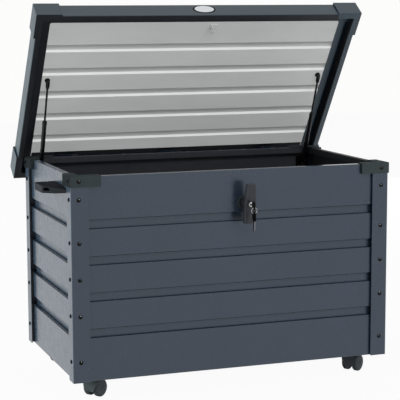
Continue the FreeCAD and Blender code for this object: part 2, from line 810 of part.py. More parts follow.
ring_bore = dim["lock_spindle"] + dim["running_gap"]
disc = cylinder(dim["rosette_radius"], (lock_x, rosette_front, lock_z), "+y", dim["rosette_thick"])
drill = cylinder(ring_bore, (lock_x, rosette_front - 1, lock_z), "+y", dim["rosette_thick"] + 2)
node("lock_rosette", without(disc, [drill]))
nut = doc.addObject("Part::Prism", "nut")
nut.Polygon = 6
bind(nut, "Circumradius", 16)
bind(nut, "Height", 5)
stand(nut, (lock_x, front_face + gauge, lock_z), "+y")
drill = cylinder(ring_bore, (lock_x, front_face - 1, lock_z), "+y", 10)
node("lock_nut", without(nut, [drill]))

cam_half = dim["cam_half"]
cam_tip = dim["cam_length"]
hook_low = cam_tip - 12
heel = cam_half * 1.4
cam_plan = [(-heel, -heel), (heel, -heel), (heel, cam_half)]
cam_plan += [(cam_half, cam_half * 2), (cam_half, hook_low), (dim["cam_hook"], hook_low)]
cam_plan += [(dim["cam_hook"], cam_tip), (-cam_half, cam_tip)]
cam_plan += [(-cam_half, cam_half * 2), (-heel, cam_half)]
cam = new_body("cam_plate")
unlocked = [(lock_x - z, lock_z + x) for x, z in cam_plan]
pad(cam, "XZ_Plane", [unlocked], cam_y, cam_y + dim["cam_gauge"])
drill = cylinder(dim["lock_tail"] + dim["running_gap"], (lock_x, cam_y - 2, lock_z), "+y", 8)
node("lock_cam", without(cam, [drill]))

# Keeper under the lid panel: an upright plate with a window for the cam hook.
keeper_x = (lock_x + 8, lock_x + 10)
keeper_y = (cam_y - 4, cam_y + dim["cam_gauge"] + 8)
upright = block(keeper_x, keeper_y, (lock_z + 64, sheet_low))
foot = block((lock_x + 9, lock_x + 30), keeper_y, (sheet_low - 2, sheet_low))
window_y = (cam_y - 2, cam_y + dim["cam_gauge"] + 4)
window = block((lock_x + 5, lock_x + 13), window_y, (lock_z + 69, lock_z + 86.5))
node("lock_keeper", opened(without(fused([upright, foot]), [window])))

# Lock plug with its key, the ring through the key's bow and the spare key on the ring.
plug_front = grip_front - 4
node("lock_plug", cylinder(dim["plug_radius"], (lock_x, plug_front, lock_z), "+y", 22))
key_half = dim["key_gauge"] / 2
ring_y = dim["ring_y"]
ring_top = dim["ring_top"]
bow = new_body("key_bow")
bow_plan = [(plug_front, lock_z - 3), (plug_front, lock_z + 3), (plug_front - 5, lock_z + 3)]
bow_plan += [(plug_front - 8, ring_top + 14), (plug_front - 14, ring_top + 17), (ring_y + 2, ring_top + 17)]
bow_plan += [(ring_y - 5, ring_top + 12), (ring_y - 5, ring_top - 1), (ring_y - 2, ring_top - 5)]
bow_plan += [(plug_front - 14, ring_top - 5), (plug_front - 8, ring_top - 2), (plug_front - 5, lock_z - 3)]
pad(bow, "YZ_Plane", [bow_plan], lock_x - key_half, lock_x + key_half)
drill = cylinder(dim["key_hole"], (lock_x - 4, ring_y, ring_top), "+x", 8)
node("lock_key", without(bow, [drill]))

ring = doc.addObject("Part::Torus", "ring")
bind(ring, "Radius1", dim["ring_radius"])
bind(ring, "Radius2", dim["ring_wire"])
ring_low = ring_top - dim["ring_radius"] * 2
node("key_ring", stand(ring, (lock_x, ring_y, ring_top - dim["ring_radius"]), "+y"))

spare = new_body("spare_blade")
right_side = [(3, 5), (9, 2), (11, -4), (11, -16), (8, -21), (4, -22), (4, -47), (1, -50)]
spare_plan = right_side + [(-3, -47), (-3, -40), (-4, -38), (-4, -22), (-8, -21)]
spare_plan += [(-11, -16), (-11, -4), (-9, 2), (-3, 5)]
hung = [(ring_y + y, ring_low + z) for y, z in spare_plan]
pad(spare, "YZ_Plane", [hung], lock_x - key_half, lock_x + key_half)
drill = cylinder(dim["key_hole"], (lock_x - 4, ring_y, ring_low), "+x", 8)
node("spare_key", without(spare, [drill]))

# Casters: a top plate with its kingpin under the floor, a turning hood with a tapered skirt and the
# axle, and two wheels with domed faces. Each is drawn about its own swivel axis and then carried to a corner.
axle_z = dim["wheel_radius"]
trail = dim["caster_trail"]
plate_top = low + gauge
plate_low = plate_top - dim["plate_thick"]
hood_top = plate_low - 0.4
pin_low = plate_low - dim["kingpin_depth"]
wheel_out = dim["wheel_inner"] + dim["wheel_width"]
fender_half = wheel_out + 0.5
plates = []


def carried(item, side_x, side_y):
    turn = dim["caster_turn"]
    item.Placement = FreeCAD.Placement(Vector(), FreeCAD.Rotation(Vector(0, 0, 1), turn.value))
    bind(item, "Placement.Rotation.Angle", turn)
    bind(item, "Placement.Base.x", dim["caster_x"] * side_x)
    bind(item, "Placement.Base.y", dim["caster_y"] * side_y)
    return item


for corner, side_x, side_y in CORNERS:
    mid_x = dim["caster_x"] * side_x
    mid_y = dim["caster_y"] * side_y
    half_plate = dim["plate_side"] / 2
    plate_x = (mid_x - half_plate, mid_x + half_plate)
    plate_y = (mid_y - half_plate, mid_y + half_plate)
    plate = block(plate_x, plate_y, (plate_low, plate_top))
    kingpin = cylinder(dim["kingpin_radius"], (mid_x, mid_y, pin_low), "+z", plate_top - pin_low - 1)
    plates.append(fused([plate, kingpin]))

    drum = cylinder(dim["fender_outer"], (trail, -fender_half, axle_z), "+y", fender_half * 2)
    across = (-fender_half - 2, fender_half + 2)
    drum_hollow = cylinder(dim["fender_inner"], (trail, across[0], axle_z), "+y", fender_half * 2 + 4)
    skirt_low = axle_z - dim["skirt_drop"]
    below = block((trail - 40, trail + 40), across, (axle_z - 40, skirt_low))
    beyond = block((trail + 12, trail + 40), across, (axle_z - 40, axle_z + 40))
    cuts = [drum_hollow, below, beyond]
    for way in (-1, 1):
        flank = new_body("flank_" + corner)
        slant = [(dim["skirt_half"], skirt_low - 1), (fender_half + 1, axle_z + 25)]
        slant += [(fender_half + 9, axle_z + 25), (fender_half + 9, skirt_low - 1)]
        pad(flank, "YZ_Plane", [[(y * way, z) for y, z in slant]], trail - 40, trail)
        cuts.append(flank)
    fender = without(drum, cuts)
    web_y = (-dim["hood_half"], dim["hood_half"])
    web = block((size(-12), trail + 8), web_y, (axle_z - 7, axle_z + 27))
    boss = cylinder(dim["boss_radius"], (zero, zero, axle_z + 26.5), "+z", hood_top - axle_z - 26.5)
    axle = cylinder(dim["axle_radius"], (trail, -wheel_out - 1, axle_z), "+y", wheel_out * 2 + 2)
    socket = cylinder(dim["kingpin_radius"] + dim["running_gap"], (zero, zero, pin_low - 0.5), "+z", 40)
    hood = without(fused([fender, web, boss, axle]), [socket])
    node("caster_hood_" + corner, carried(hood, side_x, side_y))

    for label, way in (("inner", 1), ("outer", -1)):
        radius = dim["wheel_radius"]
        bore = dim["axle_radius"] + dim["running_gap"]
        near_side = dim["wheel_inner"]
        section = [(near_side, bore), (near_side, radius - 2.5), (near_side + 2.5, radius)]
        section += [(wheel_out - 5, radius), (wheel_out - 2.2, radius - 2.4)]
        section += [(wheel_out - 1, radius - 9), (wheel_out, size(8)), (wheel_out, bore)]
        wheel = new_body("tyre_" + label + "_" + corner)
        turned = wheel.newObject("PartDesign::Revolution", "turned")
        turned.Profile = outline(wheel, "YZ_Plane", [[(y * way, z) for y, z in section]], 0)
        turned.ReferenceAxis = (turned.Profile[0], ["H_Axis"])
        turned.Angle = 360
        wheel.Tip = turned
        turn = dim["caster_turn"]
        wheel.Placement = FreeCAD.Placement(Vector(), FreeCAD.Rotation(Vector(0, 0, 1), turn.value))
        bind(wheel, "Placement.Rotation.Angle", turn)
        bind(wheel, "Placement.Base.x", mid_x + trail * cosine(turn))
        bind(wheel, "Placement.Base.y", mid_y + trail * sine(turn))
        bind(wheel, "Placement.Base.z", axle_z)
        node("wheel_" + label + "_" + corner, wheel)
node("caster_plates", together(plates))

doc.recompute()
for item in doc.Objects:
    if "Invalid" in item.State or "Error" in item.State:
        raise RuntimeError(f"{item.Label} did not build")
os.makedirs("parts", exist_ok=True)
for item in nodes:
    if item.Shape.isNull() or not item.Shape.isValid() or not item.Shape.Solids:
        raise RuntimeError(f"{item.Label} is not a sound solid")
    item.Shape.exportStep(f"parts/{item.Label}.step")
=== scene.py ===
import bmesh
import bpy
import json
import math
from mathutils import Matrix, Vector

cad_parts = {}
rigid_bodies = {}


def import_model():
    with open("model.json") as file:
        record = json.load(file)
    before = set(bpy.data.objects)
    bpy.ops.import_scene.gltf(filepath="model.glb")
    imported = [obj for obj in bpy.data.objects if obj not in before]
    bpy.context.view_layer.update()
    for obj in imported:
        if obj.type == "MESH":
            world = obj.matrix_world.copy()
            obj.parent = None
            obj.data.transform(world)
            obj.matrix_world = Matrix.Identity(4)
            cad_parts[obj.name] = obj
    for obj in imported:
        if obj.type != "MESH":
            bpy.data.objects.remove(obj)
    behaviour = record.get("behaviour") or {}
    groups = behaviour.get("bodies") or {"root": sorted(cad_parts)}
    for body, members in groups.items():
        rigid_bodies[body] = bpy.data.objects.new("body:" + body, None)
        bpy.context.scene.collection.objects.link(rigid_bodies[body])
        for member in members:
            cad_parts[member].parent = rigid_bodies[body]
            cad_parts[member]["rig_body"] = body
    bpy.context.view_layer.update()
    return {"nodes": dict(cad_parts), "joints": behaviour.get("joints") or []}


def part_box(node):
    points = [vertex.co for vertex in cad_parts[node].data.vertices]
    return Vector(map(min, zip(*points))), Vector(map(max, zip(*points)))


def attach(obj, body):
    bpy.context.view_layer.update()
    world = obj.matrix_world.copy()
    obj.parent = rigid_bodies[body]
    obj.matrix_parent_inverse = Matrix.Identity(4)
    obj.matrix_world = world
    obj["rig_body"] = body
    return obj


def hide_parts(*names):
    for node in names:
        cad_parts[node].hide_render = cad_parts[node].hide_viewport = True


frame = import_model()
nodes = frame["nodes"]
joints = {joint["name"]: joint for joint in frame["joints"]}
scene = bpy.context.scene
scene.view_settings.view_transform = "Standard"

# Wall sheets: thin steel roll-formed into five boards with shadow grooves, folded over at the foot
# and the rim and powder coated slate grey. A web and a strip at each end screw behind the posts.
# The coat is duller inside. The right wall's inside and upward faces are painted near black as
# painted shade, downward faces such as the groove lip undersides are painted shadow lines, and the
# front rim's top is a painted highlight.
WALL_GAUGE = 0.0008
WALL_INSET, WALL_TUCK, WALL_TIP = 0.009, 0.029, 0.003
GROOVE_FIRST, GROOVE_PITCH, GROOVE_HEIGHT, GROOVE_DEPTH = 0.1327, 0.1002, 0.024, 0.0095
HOOK_REACH, HOOK_DROP, WALL_FLANGE = 0.003, 0.005, 0.018
FOLD_RADIUS = 0.0018
POST_GAUGE = 0.0015
LOCK_HOLE, LOCK_DRILL = 0.0105, 0.02
LIPS_FROM, RIM_BAND = 0.05, 0.002
WELD = 0.000005
SLATE = (0.031, 0.046, 0.072)
HALF_WIDTH, HALF_DEPTH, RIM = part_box("post_back_right")[1]
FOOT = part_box("post_back_right")[0].z


def shader_group(name, inputs, outputs):
    group = bpy.data.node_groups.new(name, "ShaderNodeTree")
    for label, kind in inputs:
        group.interface.new_socket(label, in_out="INPUT", socket_type="NodeSocket" + kind)
    for label, kind in outputs:
        group.interface.new_socket(label, in_out="OUTPUT", socket_type="NodeSocket" + kind)
    return group, group.nodes.new("NodeGroupInput"), group.nodes.new("NodeGroupOutput")


def cloud(tree, coordinates, scale, detail=3.0):
    """Soft noise, about 0.3 to 0.7."""
    pattern = tree.nodes.new("ShaderNodeTexNoise")
    pattern.inputs["Detail"].default_value = detail
    if isinstance(scale, float):
        pattern.inputs["Scale"].default_value = scale
    else:
        tree.links.new(scale, pattern.inputs["Scale"])
    tree.links.new(coordinates, pattern.inputs["Vector"])
    return pattern.outputs["Fac"]


def spread(tree, value, low, high):
    """Stretch soft noise over a new range."""
    reach = tree.nodes.new("ShaderNodeMapRange")
    reach.inputs["From Min"].default_value = 0.3
    reach.inputs["From Max"].default_value = 0.7
    reach.inputs["To Min"].default_value = low
    reach.inputs["To Max"].default_value = high
    tree.links.new(value, reach.inputs["Value"])
    return reach.outputs["Result"]


def maths(tree, operation, first, second):
    step = tree.nodes.new("ShaderNodeMath")
    step.operation = operation
    for socket, value in zip(step.inputs, (first, second)):
        if isinstance(value, float):
            socket.default_value = value
        else:
            tree.links.new(value, socket)
    return step.outputs[0]


def shaded(tree, colour, factor):
    """A colour made darker or lighter by a grey factor."""
    tint = tree.nodes.new("ShaderNodeVectorMath")
    tint.operation = "SCALE"
    tree.links.new(colour, tint.inputs[0])
    tree.links.new(factor, tint.inputs["Scale"])
    return tint.outputs[0]


# grain shared by coated and moulded pieces: slow clouding, faint rubbed patches and a fine skin
SLOW_CLOUDS, RUBBED_PATCHES, RUBBED_DULLING = 5.0, 37.0, 0.08
surface_grain, taken, given = shader_group(
    "surface_grain",
    (
        ("Colour", "Color"), ("Roughness", "Float"), ("Skin Scale", "Float"),
        ("Clouding", "Float"), ("Streak", "Vector"),
    ),
    (("Colour", "Color"), ("Roughness", "Float"), ("Height", "Float")),
)
spot = surface_grain.nodes.new("ShaderNodeTexCoord").outputs["Object"]
drawn_out = surface_grain.nodes.new("ShaderNodeVectorMath")
drawn_out.operation = "MULTIPLY"
surface_grain.links.new(spot, drawn_out.inputs[0])
surface_grain.links.new(taken.outputs["Streak"], drawn_out.inputs[1])
slow = spread(surface_grain, cloud(surface_grain, drawn_out.outputs[0], SLOW_CLOUDS), -1.0, 1.0)
rubbed = spread(surface_grain, cloud(surface_grain, drawn_out.outputs[0], RUBBED_PATCHES, 2.0), -0.5, 0.5)
skin = cloud(surface_grain, spot, taken.outputs["Skin Scale"], 2.0)
both = maths(surface_grain, "ADD", slow, rubbed)
uneven = maths(surface_grain, "MULTIPLY", both, taken.outputs["Clouding"])
tone = shaded(surface_grain, taken.outputs["Colour"], maths(surface_grain, "ADD", uneven, 1.0))
dulled = maths(surface_grain, "MULTIPLY", rubbed, RUBBED_DULLING)
worn = maths(surface_grain, "ADD", taken.outputs["Roughness"], dulled)
for value, label in ((tone, "Colour"), (worn, "Roughness"), (skin, "Height")):
    surface_grain.links.new(value, given.inputs[label])


def finish_of(
    name, colour, roughness, skin_scale, skin_depth, clouding=0.06, metallic=0.0, gloss=0.5, streak=(1, 1, 1)
):
    """A coated, moulded or plated finish with the shared grain in front of its shader."""
    look = bpy.data.materials.new(name)
    look.use_nodes = True
    tree = look.node_tree
    shader = tree.nodes["Principled BSDF"]
    shader.inputs["Metallic"].default_value = metallic
    shader.inputs["Specular IOR Level"].default_value = gloss
    grain = tree.nodes.new("ShaderNodeGroup")
    grain.node_tree = surface_grain
    grain.inputs["Colour"].default_value = (*colour, 1.0)
    grain.inputs["Roughness"].default_value = roughness
    grain.inputs["Skin Scale"].default_value = skin_scale
    grain.inputs["Clouding"].default_value = clouding
    grain.inputs["Streak"].default_value = streak
    bump = tree.nodes.new("ShaderNodeBump")
    bump.inputs["Distance"].default_value = skin_depth
    tree.links.new(grain.outputs["Colour"], shader.inputs["Base Color"])
    tree.links.new(grain.outputs["Roughness"], shader.inputs["Roughness"])
    tree.links.new(grain.outputs["Height"], bump.inputs["Height"])
    tree.links.new(bump.outputs["Normal"], shader.inputs["Normal"])
    return look


slate_coat = finish_of("slate_coat", SLATE, 0.25, 900.0, 0.000002, clouding=0.04, gloss=0.55)
inner_coat = finish_of("inner_coat", (0.066, 0.068, 0.078), 0.45, 900.0, 0.00002, clouding=0.08, gloss=0.2)
# painted shade: near black for the right wall's inside and upward faces
deep_coat = finish_of("deep_coat", (0.014, 0.014, 0.016), 0.45, 900.0, 0.00002, clouding=0.08, gloss=0.1)
# painted shadow: near black for downward faces, drawing dark lines under the groove lips
lip_shade = finish_of("lip_shade", (0.004, 0.005, 0.006), 0.60, 900.0, 0.00001, clouding=0.10, gloss=0.05)
# painted highlight: a lighter, glossier coat for the front rim's top
rim_rubbed = finish_of("rim_rubbed", (0.045, 0.060, 0.085), 0.10, 900.0, 0.000001, clouding=0.06, gloss=1.0)


def tree_inputs(tree, *pairs):
    """Give a geometry tree its inputs and its output; return the two end nodes and the identifiers."""
    for label, kind in pairs:
        tree.interface.new_socket(label, in_out="INPUT", socket_type="NodeSocket" + kind)
    tree.interface.new_socket("Geometry", in_out="OUTPUT", socket_type="NodeSocketGeometry")
    names = {item.name: item.identifier for item in tree.interface.items_tree if item.in_out == "INPUT"}
    return tree.nodes.new("NodeGroupInput"), tree.nodes.new("NodeGroupOutput"), names


def join_up(tree, *links):
    for source, target in links:
        tree.links.new(source, target)


# a folded sheet: the section's corners are rounded and its line runs out straight
folded_sheet = bpy.data.node_groups.new("folded_sheet", "GeometryNodeTree")
asked, made, fold_inputs = tree_inputs(
    folded_sheet,
    ("Geometry", "Geometry"), ("Fold Radius", "Float"), ("Run", "Vector"), ("Finish", "Material"),
)
drawn = folded_sheet.nodes.new("GeometryNodeMeshToCurve")
bent = folded_sheet.nodes.new("GeometryNodeFilletCurve")
bent.mode = "POLY"
bent.inputs["Count"].default_value = 4
bent.inputs["Limit Radius"].default_value = True
line = folded_sheet.nodes.new("GeometryNodeCurveToMesh")
pulled = folded_sheet.nodes.new("GeometryNodeExtrudeMesh")
pulled.mode = "EDGES"
real = folded_sheet.nodes.new("GeometryNodeRealizeInstances")
dressed = folded_sheet.nodes.new("GeometryNodeSetMaterial")
join_up(
    folded_sheet,
    (asked.outputs["Geometry"], drawn.inputs["Mesh"]),
    (drawn.outputs["Curve"], bent.inputs["Curve"]),
    (asked.outputs["Fold Radius"], bent.inputs["Radius"]),
    (bent.outputs["Curve"], line.inputs["Curve"]),
    (line.outputs["Mesh"], pulled.inputs["Mesh"]),
    (asked.outputs["Run"], pulled.inputs["Offset"]),
    (pulled.outputs["Mesh"], real.inputs["Geometry"]),
    (real.outputs["Geometry"], dressed.inputs["Geometry"]),
    (asked.outputs["Finish"], dressed.inputs["Material"]),
    (dressed.outputs["Geometry"], made.inputs["Geometry"]),
)


def linked(name, mesh):
    piece = bpy.data.objects.new(name, mesh)
    scene.collection.objects.link(piece)
    return piece


def realised(piece):
    """The plain mesh that an object's modifiers give; the object goes."""
    graph = bpy.context.evaluated_depsgraph_get()
    graph.update()
    mesh = bpy.data.meshes.new_from_object(piece.evaluated_get(graph))
    drawing = piece.data
    bpy.data.objects.remove(piece)
    bpy.data.meshes.remove(drawing)
    return mesh


def joined(meshes):
    whole = bmesh.new()
    for mesh in meshes:
        whole.from_mesh(mesh)
    result = bpy.data.meshes.new("joined")
    whole.to_mesh(result)
    whole.free()
    return result


def smooth(mesh, degrees=35.0):
    """Smooth shading between sharp edges, with flat faces kept flat."""
    mesh.polygons.foreach_set("use_smooth", [True] * len(mesh.polygons))
    mesh.set_sharp_from_angle(angle=math.radians(degrees))
    piece = linked("smooth", mesh)
    even = piece.modifiers.new("even", "WEIGHTED_NORMAL")
    even.keep_sharp = True
    return realised(piece)


def outward(mesh):
    shell = bmesh.new()
    shell.from_mesh(mesh)
    bmesh.ops.remove_doubles(shell, verts=shell.verts, dist=WELD)
    bmesh.ops.recalc_face_normals(shell, faces=shell.faces)
    shell.to_mesh(mesh)
    shell.free()
    return mesh


def sheet_piece(section, run, gauge, radius, look):
    """One folded sheet of even thickness about its section line."""
    drawing = bpy.data.meshes.new("section")
    drawing.from_pydata(section, [(i, i + 1) for i in range(len(section) - 1)], [])
    piece = linked("section", drawing)
    fold = piece.modifiers.new("fold", "NODES")
    fold.node_group = folded_sheet
    fold[fold_inputs["Fold Radius"]] = radius
    fold[fold_inputs["Run"]] = run
    fold[fold_inputs["Finish"]] = look
    thick = piece.modifiers.new("thick", "SOLIDIFY")
    thick.thickness, thick.offset, thick.use_even_offset = gauge, 0.0, True
    return outward(realised(piece))


def dress(mesh, *looks):
    """Give a mesh its finishes; each face keeps the number of its own."""
    numbers = [polygon.material_index for polygon in mesh.polygons]
    mesh.materials.clear()
    for look in looks:
        mesh.materials.append(look)
    mesh.polygons.foreach_set("material_index", numbers)


def stands_for(name, mesh, cad_node, *looks):
    """Show a mesh in place of a CAD node, moving with its body."""
    dress(mesh, *looks)
    piece = linked(name, mesh)
    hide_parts(cad_node)
    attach(piece, nodes[cad_node]["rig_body"])
    return piece


def wall_section():
    """Depth and height of the sheet's middle line, from the foot flange to the rim lip."""
    half = WALL_GAUGE / 2
    line = [(WALL_FLANGE, half), (half, half)]
    for row in range(4):
        low = GROOVE_FIRST + GROOVE_PITCH * row - GROOVE_HEIGHT / 2
        high = low + GROOVE_HEIGHT
        hook = low - HOOK_DROP - half
        line += [(half, low - half), (HOOK_REACH - half, low - half), (HOOK_REACH - half, hook)]
        line += [(GROOVE_DEPTH + half, hook), (GROOVE_DEPTH + half, high + half), (half, high + half)]
    top = RIM - FOOT - half
    return line + [(half, top), (WALL_FLANGE - half, top), (WALL_FLANGE - half, top - WALL_FLANGE)]


def wall_mesh(side, reach, half_span, turned):
    """A whole wall with its end strips; a side wall is the same with X and Y exchanged."""
    def spot(along, across, height):
        return (side * across, along, height) if turned else (along, side * across, height)
    face, end = reach - WALL_INSET, half_span - WALL_TUCK
    section = [spot(-end, face - depth, FOOT + height) for depth, height in wall_section()]
    run = Vector(spot(end, 0, 0)) - Vector(spot(-end, 0, 0))
    sheets = [sheet_piece(section, run, WALL_GAUGE, FOLD_RADIUS, slate_coat)]
    strip = reach - POST_GAUGE - WALL_GAUGE / 2
    web = end + WALL_GAUGE / 2
    for way in (-1, 1):
        plan = [(web, face - GROOVE_DEPTH - WALL_GAUGE), (web, strip), (half_span - WALL_TIP, strip)]
        corners = [spot(way * along, across, FOOT) for along, across in plan]
        sheets.append(sheet_piece(corners, (0, 0, RIM - FOOT), WALL_GAUGE, FOLD_RADIUS, slate_coat))
    return joined(sheets)


def turned_solid(profile, base, axis, steps=48, closed=False):
    """A lathe-turned solid from (distance along the axis, radius) pairs."""
    turn = Vector(axis).to_track_quat("Z", "Y").to_matrix()
    shape = bmesh.new()
    rings = []
    for along, radius in profile:
        ring = []
        for step in range(steps if radius > 0 else 1):
            angle = math.tau * step / steps
            place = Vector((radius * math.cos(angle), radius * math.sin(angle), along))
            ring.append(shape.verts.new(turn @ place + Vector(base)))
        rings.append(ring)
    pairs = list(zip(rings, rings[1:])) + ([(rings[-1], rings[0])] if closed else [])
    for near, far in pairs:
        for step in range(steps):
            after = (step + 1) % steps
            corners = [near[step % len(near)], near[after % len(near)]]
            corners += [far[after % len(far)], far[step % len(far)]]
            shape.faces.new(list(dict.fromkeys(corners)))
    mesh = bpy.data.meshes.new("turned")
    bmesh.ops.recalc_face_normals(shape, faces=shape.faces)
    shape.to_mesh(mesh)
    shape.free()
    return mesh


def cut_by(mesh, cutter_mesh):
    """Take one closed mesh out of another."""
    piece, cutter = linked("cut", mesh), linked("cutter", cutter_mesh)
    cut = piece.modifiers.new("cut", "BOOLEAN")
    cut.operation, cut.solver, cut.object = "DIFFERENCE", "EXACT", cutter
    result = realised(piece)
    bpy.data.objects.remove(cutter)
    return result


lock_x, _, lock_z = joints["lock_turn"]["pos_m"]
for label, side, reach, span, turned in (
    ("front", -1, HALF_DEPTH, HALF_WIDTH, False),
    ("back", 1, HALF_DEPTH, HALF_WIDTH, False),
    ("left", -1, HALF_WIDTH, HALF_DEPTH, True),
    ("right", 1, HALF_WIDTH, HALF_DEPTH, True),
):
    mesh = wall_mesh(side, reach, span, turned)
    if label == "front":
        drill = [(0, 0), (0, LOCK_HOLE), (LOCK_DRILL, LOCK_HOLE), (LOCK_DRILL, 0)]
        start = (lock_x, WALL_INSET - HALF_DEPTH - LOCK_DRILL / 2, lock_z)
        mesh = cut_by(mesh, turned_solid(drill, start, (0, 1, 0)))
    mesh = smooth(mesh)
    across = 0 if turned else 1
    numbers = []
    for polygon in mesh.polygons:
        # painted shadow on downward faces, painted shade in the right wall, painted highlight on the front
        # rim
        lip = polygon.normal.z < -0.3 and polygon.center.z > FOOT + LIPS_FROM
        inside = polygon.normal[across] * side < -0.5 or (label == "right" and polygon.normal.z > 0.5)
        rim = label == "front" and polygon.normal.z > 0.8 and polygon.center.z > RIM - RIM_BAND
        numbers.append(3 if rim else 1 if inside else 2 if lip else 0)
    mesh.polygons.foreach_set("material_index", numbers)
    # the right wall's inside is painted near black as painted shade; the others keep the duller inner coat
    inner = deep_coat if label == "right" else inner_coat
    stands_for("wall_" + label, mesh, label + "_panel", slate_coat, inner, lip_shade, rim_rubbed)

# Floor sheet: galvanised steel pressed with three flat ribs, lying on the walls' foot flanges.
# Its shape is the drawn one; the zinc shows its spangle under a thin dark coat.
floor_coat = finish_of("floor_coat", (0.034, 0.042, 0.052), 0.45, 700.0, 0.00003, clouding=0.10)
dress(nodes["floor_panel"].data, floor_coat)

# Corner posts: thicker angle steel with a rolled outer corner, coated like the walls and screwed
# over the wall strips from both faces.
POST_LONG, POST_SHORT, POST_ROLL = 0.049, 0.046, 0.0024
CORNERS = (("front_left", -1, -1), ("front_right", 1, -1), ("back_left", -1, 1), ("back_right", 1, 1))
post_coat = finish_of("post_coat", SLATE, 0.26, 900.0, 0.000002, clouding=0.04, gloss=0.55)
for corner, side_x, side_y in CORNERS:
    half = POST_GAUGE / 2
    plan = [(HALF_WIDTH - POST_LONG, HALF_DEPTH - half), (HALF_WIDTH - half, HALF_DEPTH - half)]
    plan.append((HALF_WIDTH - half, HALF_DEPTH - POST_SHORT))
    section = [(x * side_x, y * side_y, FOOT) for x, y in plan]
    mesh = sheet_piece(section, (0, 0, RIM - FOOT), POST_GAUGE, POST_ROLL, post_coat)
    stands_for("angle_post_" + corner, smooth(mesh), "post_" + corner, post_coat)


# Box corner caps: injection moulded covers in dark grained plastic. They hide the post tops and
# the rim ends, and keep the lid off the sheet edges.
def eased(mesh, width, segments=3, degrees=40.0):
    """Round the sharp edges of a closed mesh."""
    mesh.polygons.foreach_set("use_smooth", [True] * len(mesh.polygons))
    piece = linked("eased", mesh)
    edge = piece.modifiers.new("edge", "BEVEL")
    edge.width, edge.segments, edge.limit_method = width, segments, "ANGLE"
    edge.angle_limit = math.radians(degrees)
    edge.use_clamp_overlap = True
    return smooth(realised(piece), degrees)


def merged_copy(cad_node):
    """A CAD node's solid as one joined-up mesh with whole flat faces."""
    copy = nodes[cad_node].data.copy()
    shape = bmesh.new()
    shape.from_mesh(copy)
    bmesh.ops.remove_doubles(shape, verts=shape.verts, dist=WELD)
    bmesh.ops.dissolve_limit(shape, angle_limit=math.radians(0.4), verts=shape.verts, edges=shape.edges)
    shape.to_mesh(copy)
    shape.free()
    return copy


def eased_part(name, cad_node, edge, look):
    """A CAD node in its own shape, with its edges rounded."""
    return stands_for(name, eased(merged_copy(cad_node), edge), cad_node, look)


CAP_EDGE = 0.0009
cap_plastic = finish_of("cap_plastic", (0.052, 0.064, 0.067), 0.70, 1400.0, 0.00008, gloss=0.02)
box_caps = [
    eased_part("corner_cap_" + corner, "cap_" + corner, CAP_EDGE, cap_plastic) for corner, *_ in CORNERS
]

# Post screws: steel screws with black domed heads, six down each face of every post and one of
# those through the cap. All heads are alike.
HEAD_RADIUS, HEAD_INSET, CAP_PROUD = 0.006, 0.022, 0.0025
HEAD_RIM, HEAD_BROW, HEAD_DOME = (0.08, 1.0), (0.13, 0.95), (0.37, 0.92)
TURNED_SHARP = 50.0
SCREW_HEIGHTS = (0.0565, 0.1835, 0.2845, 0.3845, 0.5025, 0.5526)
screw_black = finish_of(
    "screw_black", (0.001, 0.001, 0.001), 0.18, 1200.0, 0.00001, clouding=0.12, gloss=0.04
)
fastener_heads = bpy.data.node_groups.new("fastener_heads", "GeometryNodeTree")
asked, made, head_inputs = tree_inputs(
    fastener_heads, ("Geometry", "Geometry"), ("Head", "Object"), ("Size", "Float"), ("Finish", "Material")
)
shape_of = fastener_heads.nodes.new("GeometryNodeObjectInfo")
facing = fastener_heads.nodes.new("GeometryNodeInputNamedAttribute")
facing.data_type = "FLOAT_VECTOR"
facing.inputs["Name"].default_value = "facing"
aimed = fastener_heads.nodes.new("FunctionNodeAlignRotationToVector")
aimed.axis = "Z"
placed = fastener_heads.nodes.new("GeometryNodeInstanceOnPoints")
real = fastener_heads.nodes.new("GeometryNodeRealizeInstances")
dressed = fastener_heads.nodes.new("GeometryNodeSetMaterial")
join_up(
    fastener_heads,
    (asked.outputs["Head"], shape_of.inputs["Object"]),
    (asked.outputs["Geometry"], placed.inputs["Points"]),
    (shape_of.outputs["Geometry"], placed.inputs["Instance"]),
    (facing.outputs[0], aimed.inputs["Vector"]),
    (aimed.outputs["Rotation"], placed.inputs["Rotation"]),
    (asked.outputs["Size"], placed.inputs["Scale"]),
    (placed.outputs["Instances"], real.inputs["Geometry"]),
    (real.outputs["Geometry"], dressed.inputs["Geometry"]),
    (asked.outputs["Finish"], dressed.inputs["Material"]),
    (dressed.outputs["Geometry"], made.inputs["Geometry"]),
)


def heads_at(spots, head_mesh, size, look):
    """Copies of one head at (place, direction) pairs, as one mesh."""
    points = bpy.data.meshes.new("spots")
    points.from_pydata([place for place, way in spots], [], [])
    ways = points.attributes.new("facing", "FLOAT_VECTOR", "POINT")
    ways.data.foreach_set("vector", [value for place, way in spots for value in way])
    piece, head = linked("spots", points), linked("head", head_mesh)
    copies = piece.modifiers.new("copies", "NODES")
    copies.node_group = fastener_heads
    copies[head_inputs["Head"]] = head
    copies[head_inputs["Size"]] = size
    copies[head_inputs["Finish"]] = look
    mesh = realised(piece)
    bpy.data.objects.remove(head)
    return mesh


def domed_head(steps=20):
    """A head of unit radius and half that height: a thin rim under a dome."""
    profile = [(0, 0), (0, 1.0), HEAD_RIM, HEAD_BROW]
    rise, width = HEAD_DOME
    for step in range(1, 6):
        angle = math.radians(18 * step)
        profile.append((HEAD_BROW[0] + rise * math.sin(angle), width * math.cos(angle)))
    profile[-1] = (profile[-1][0], 0)
    return turned_solid(profile, (0, 0, 0), (0, 0, 1), steps)


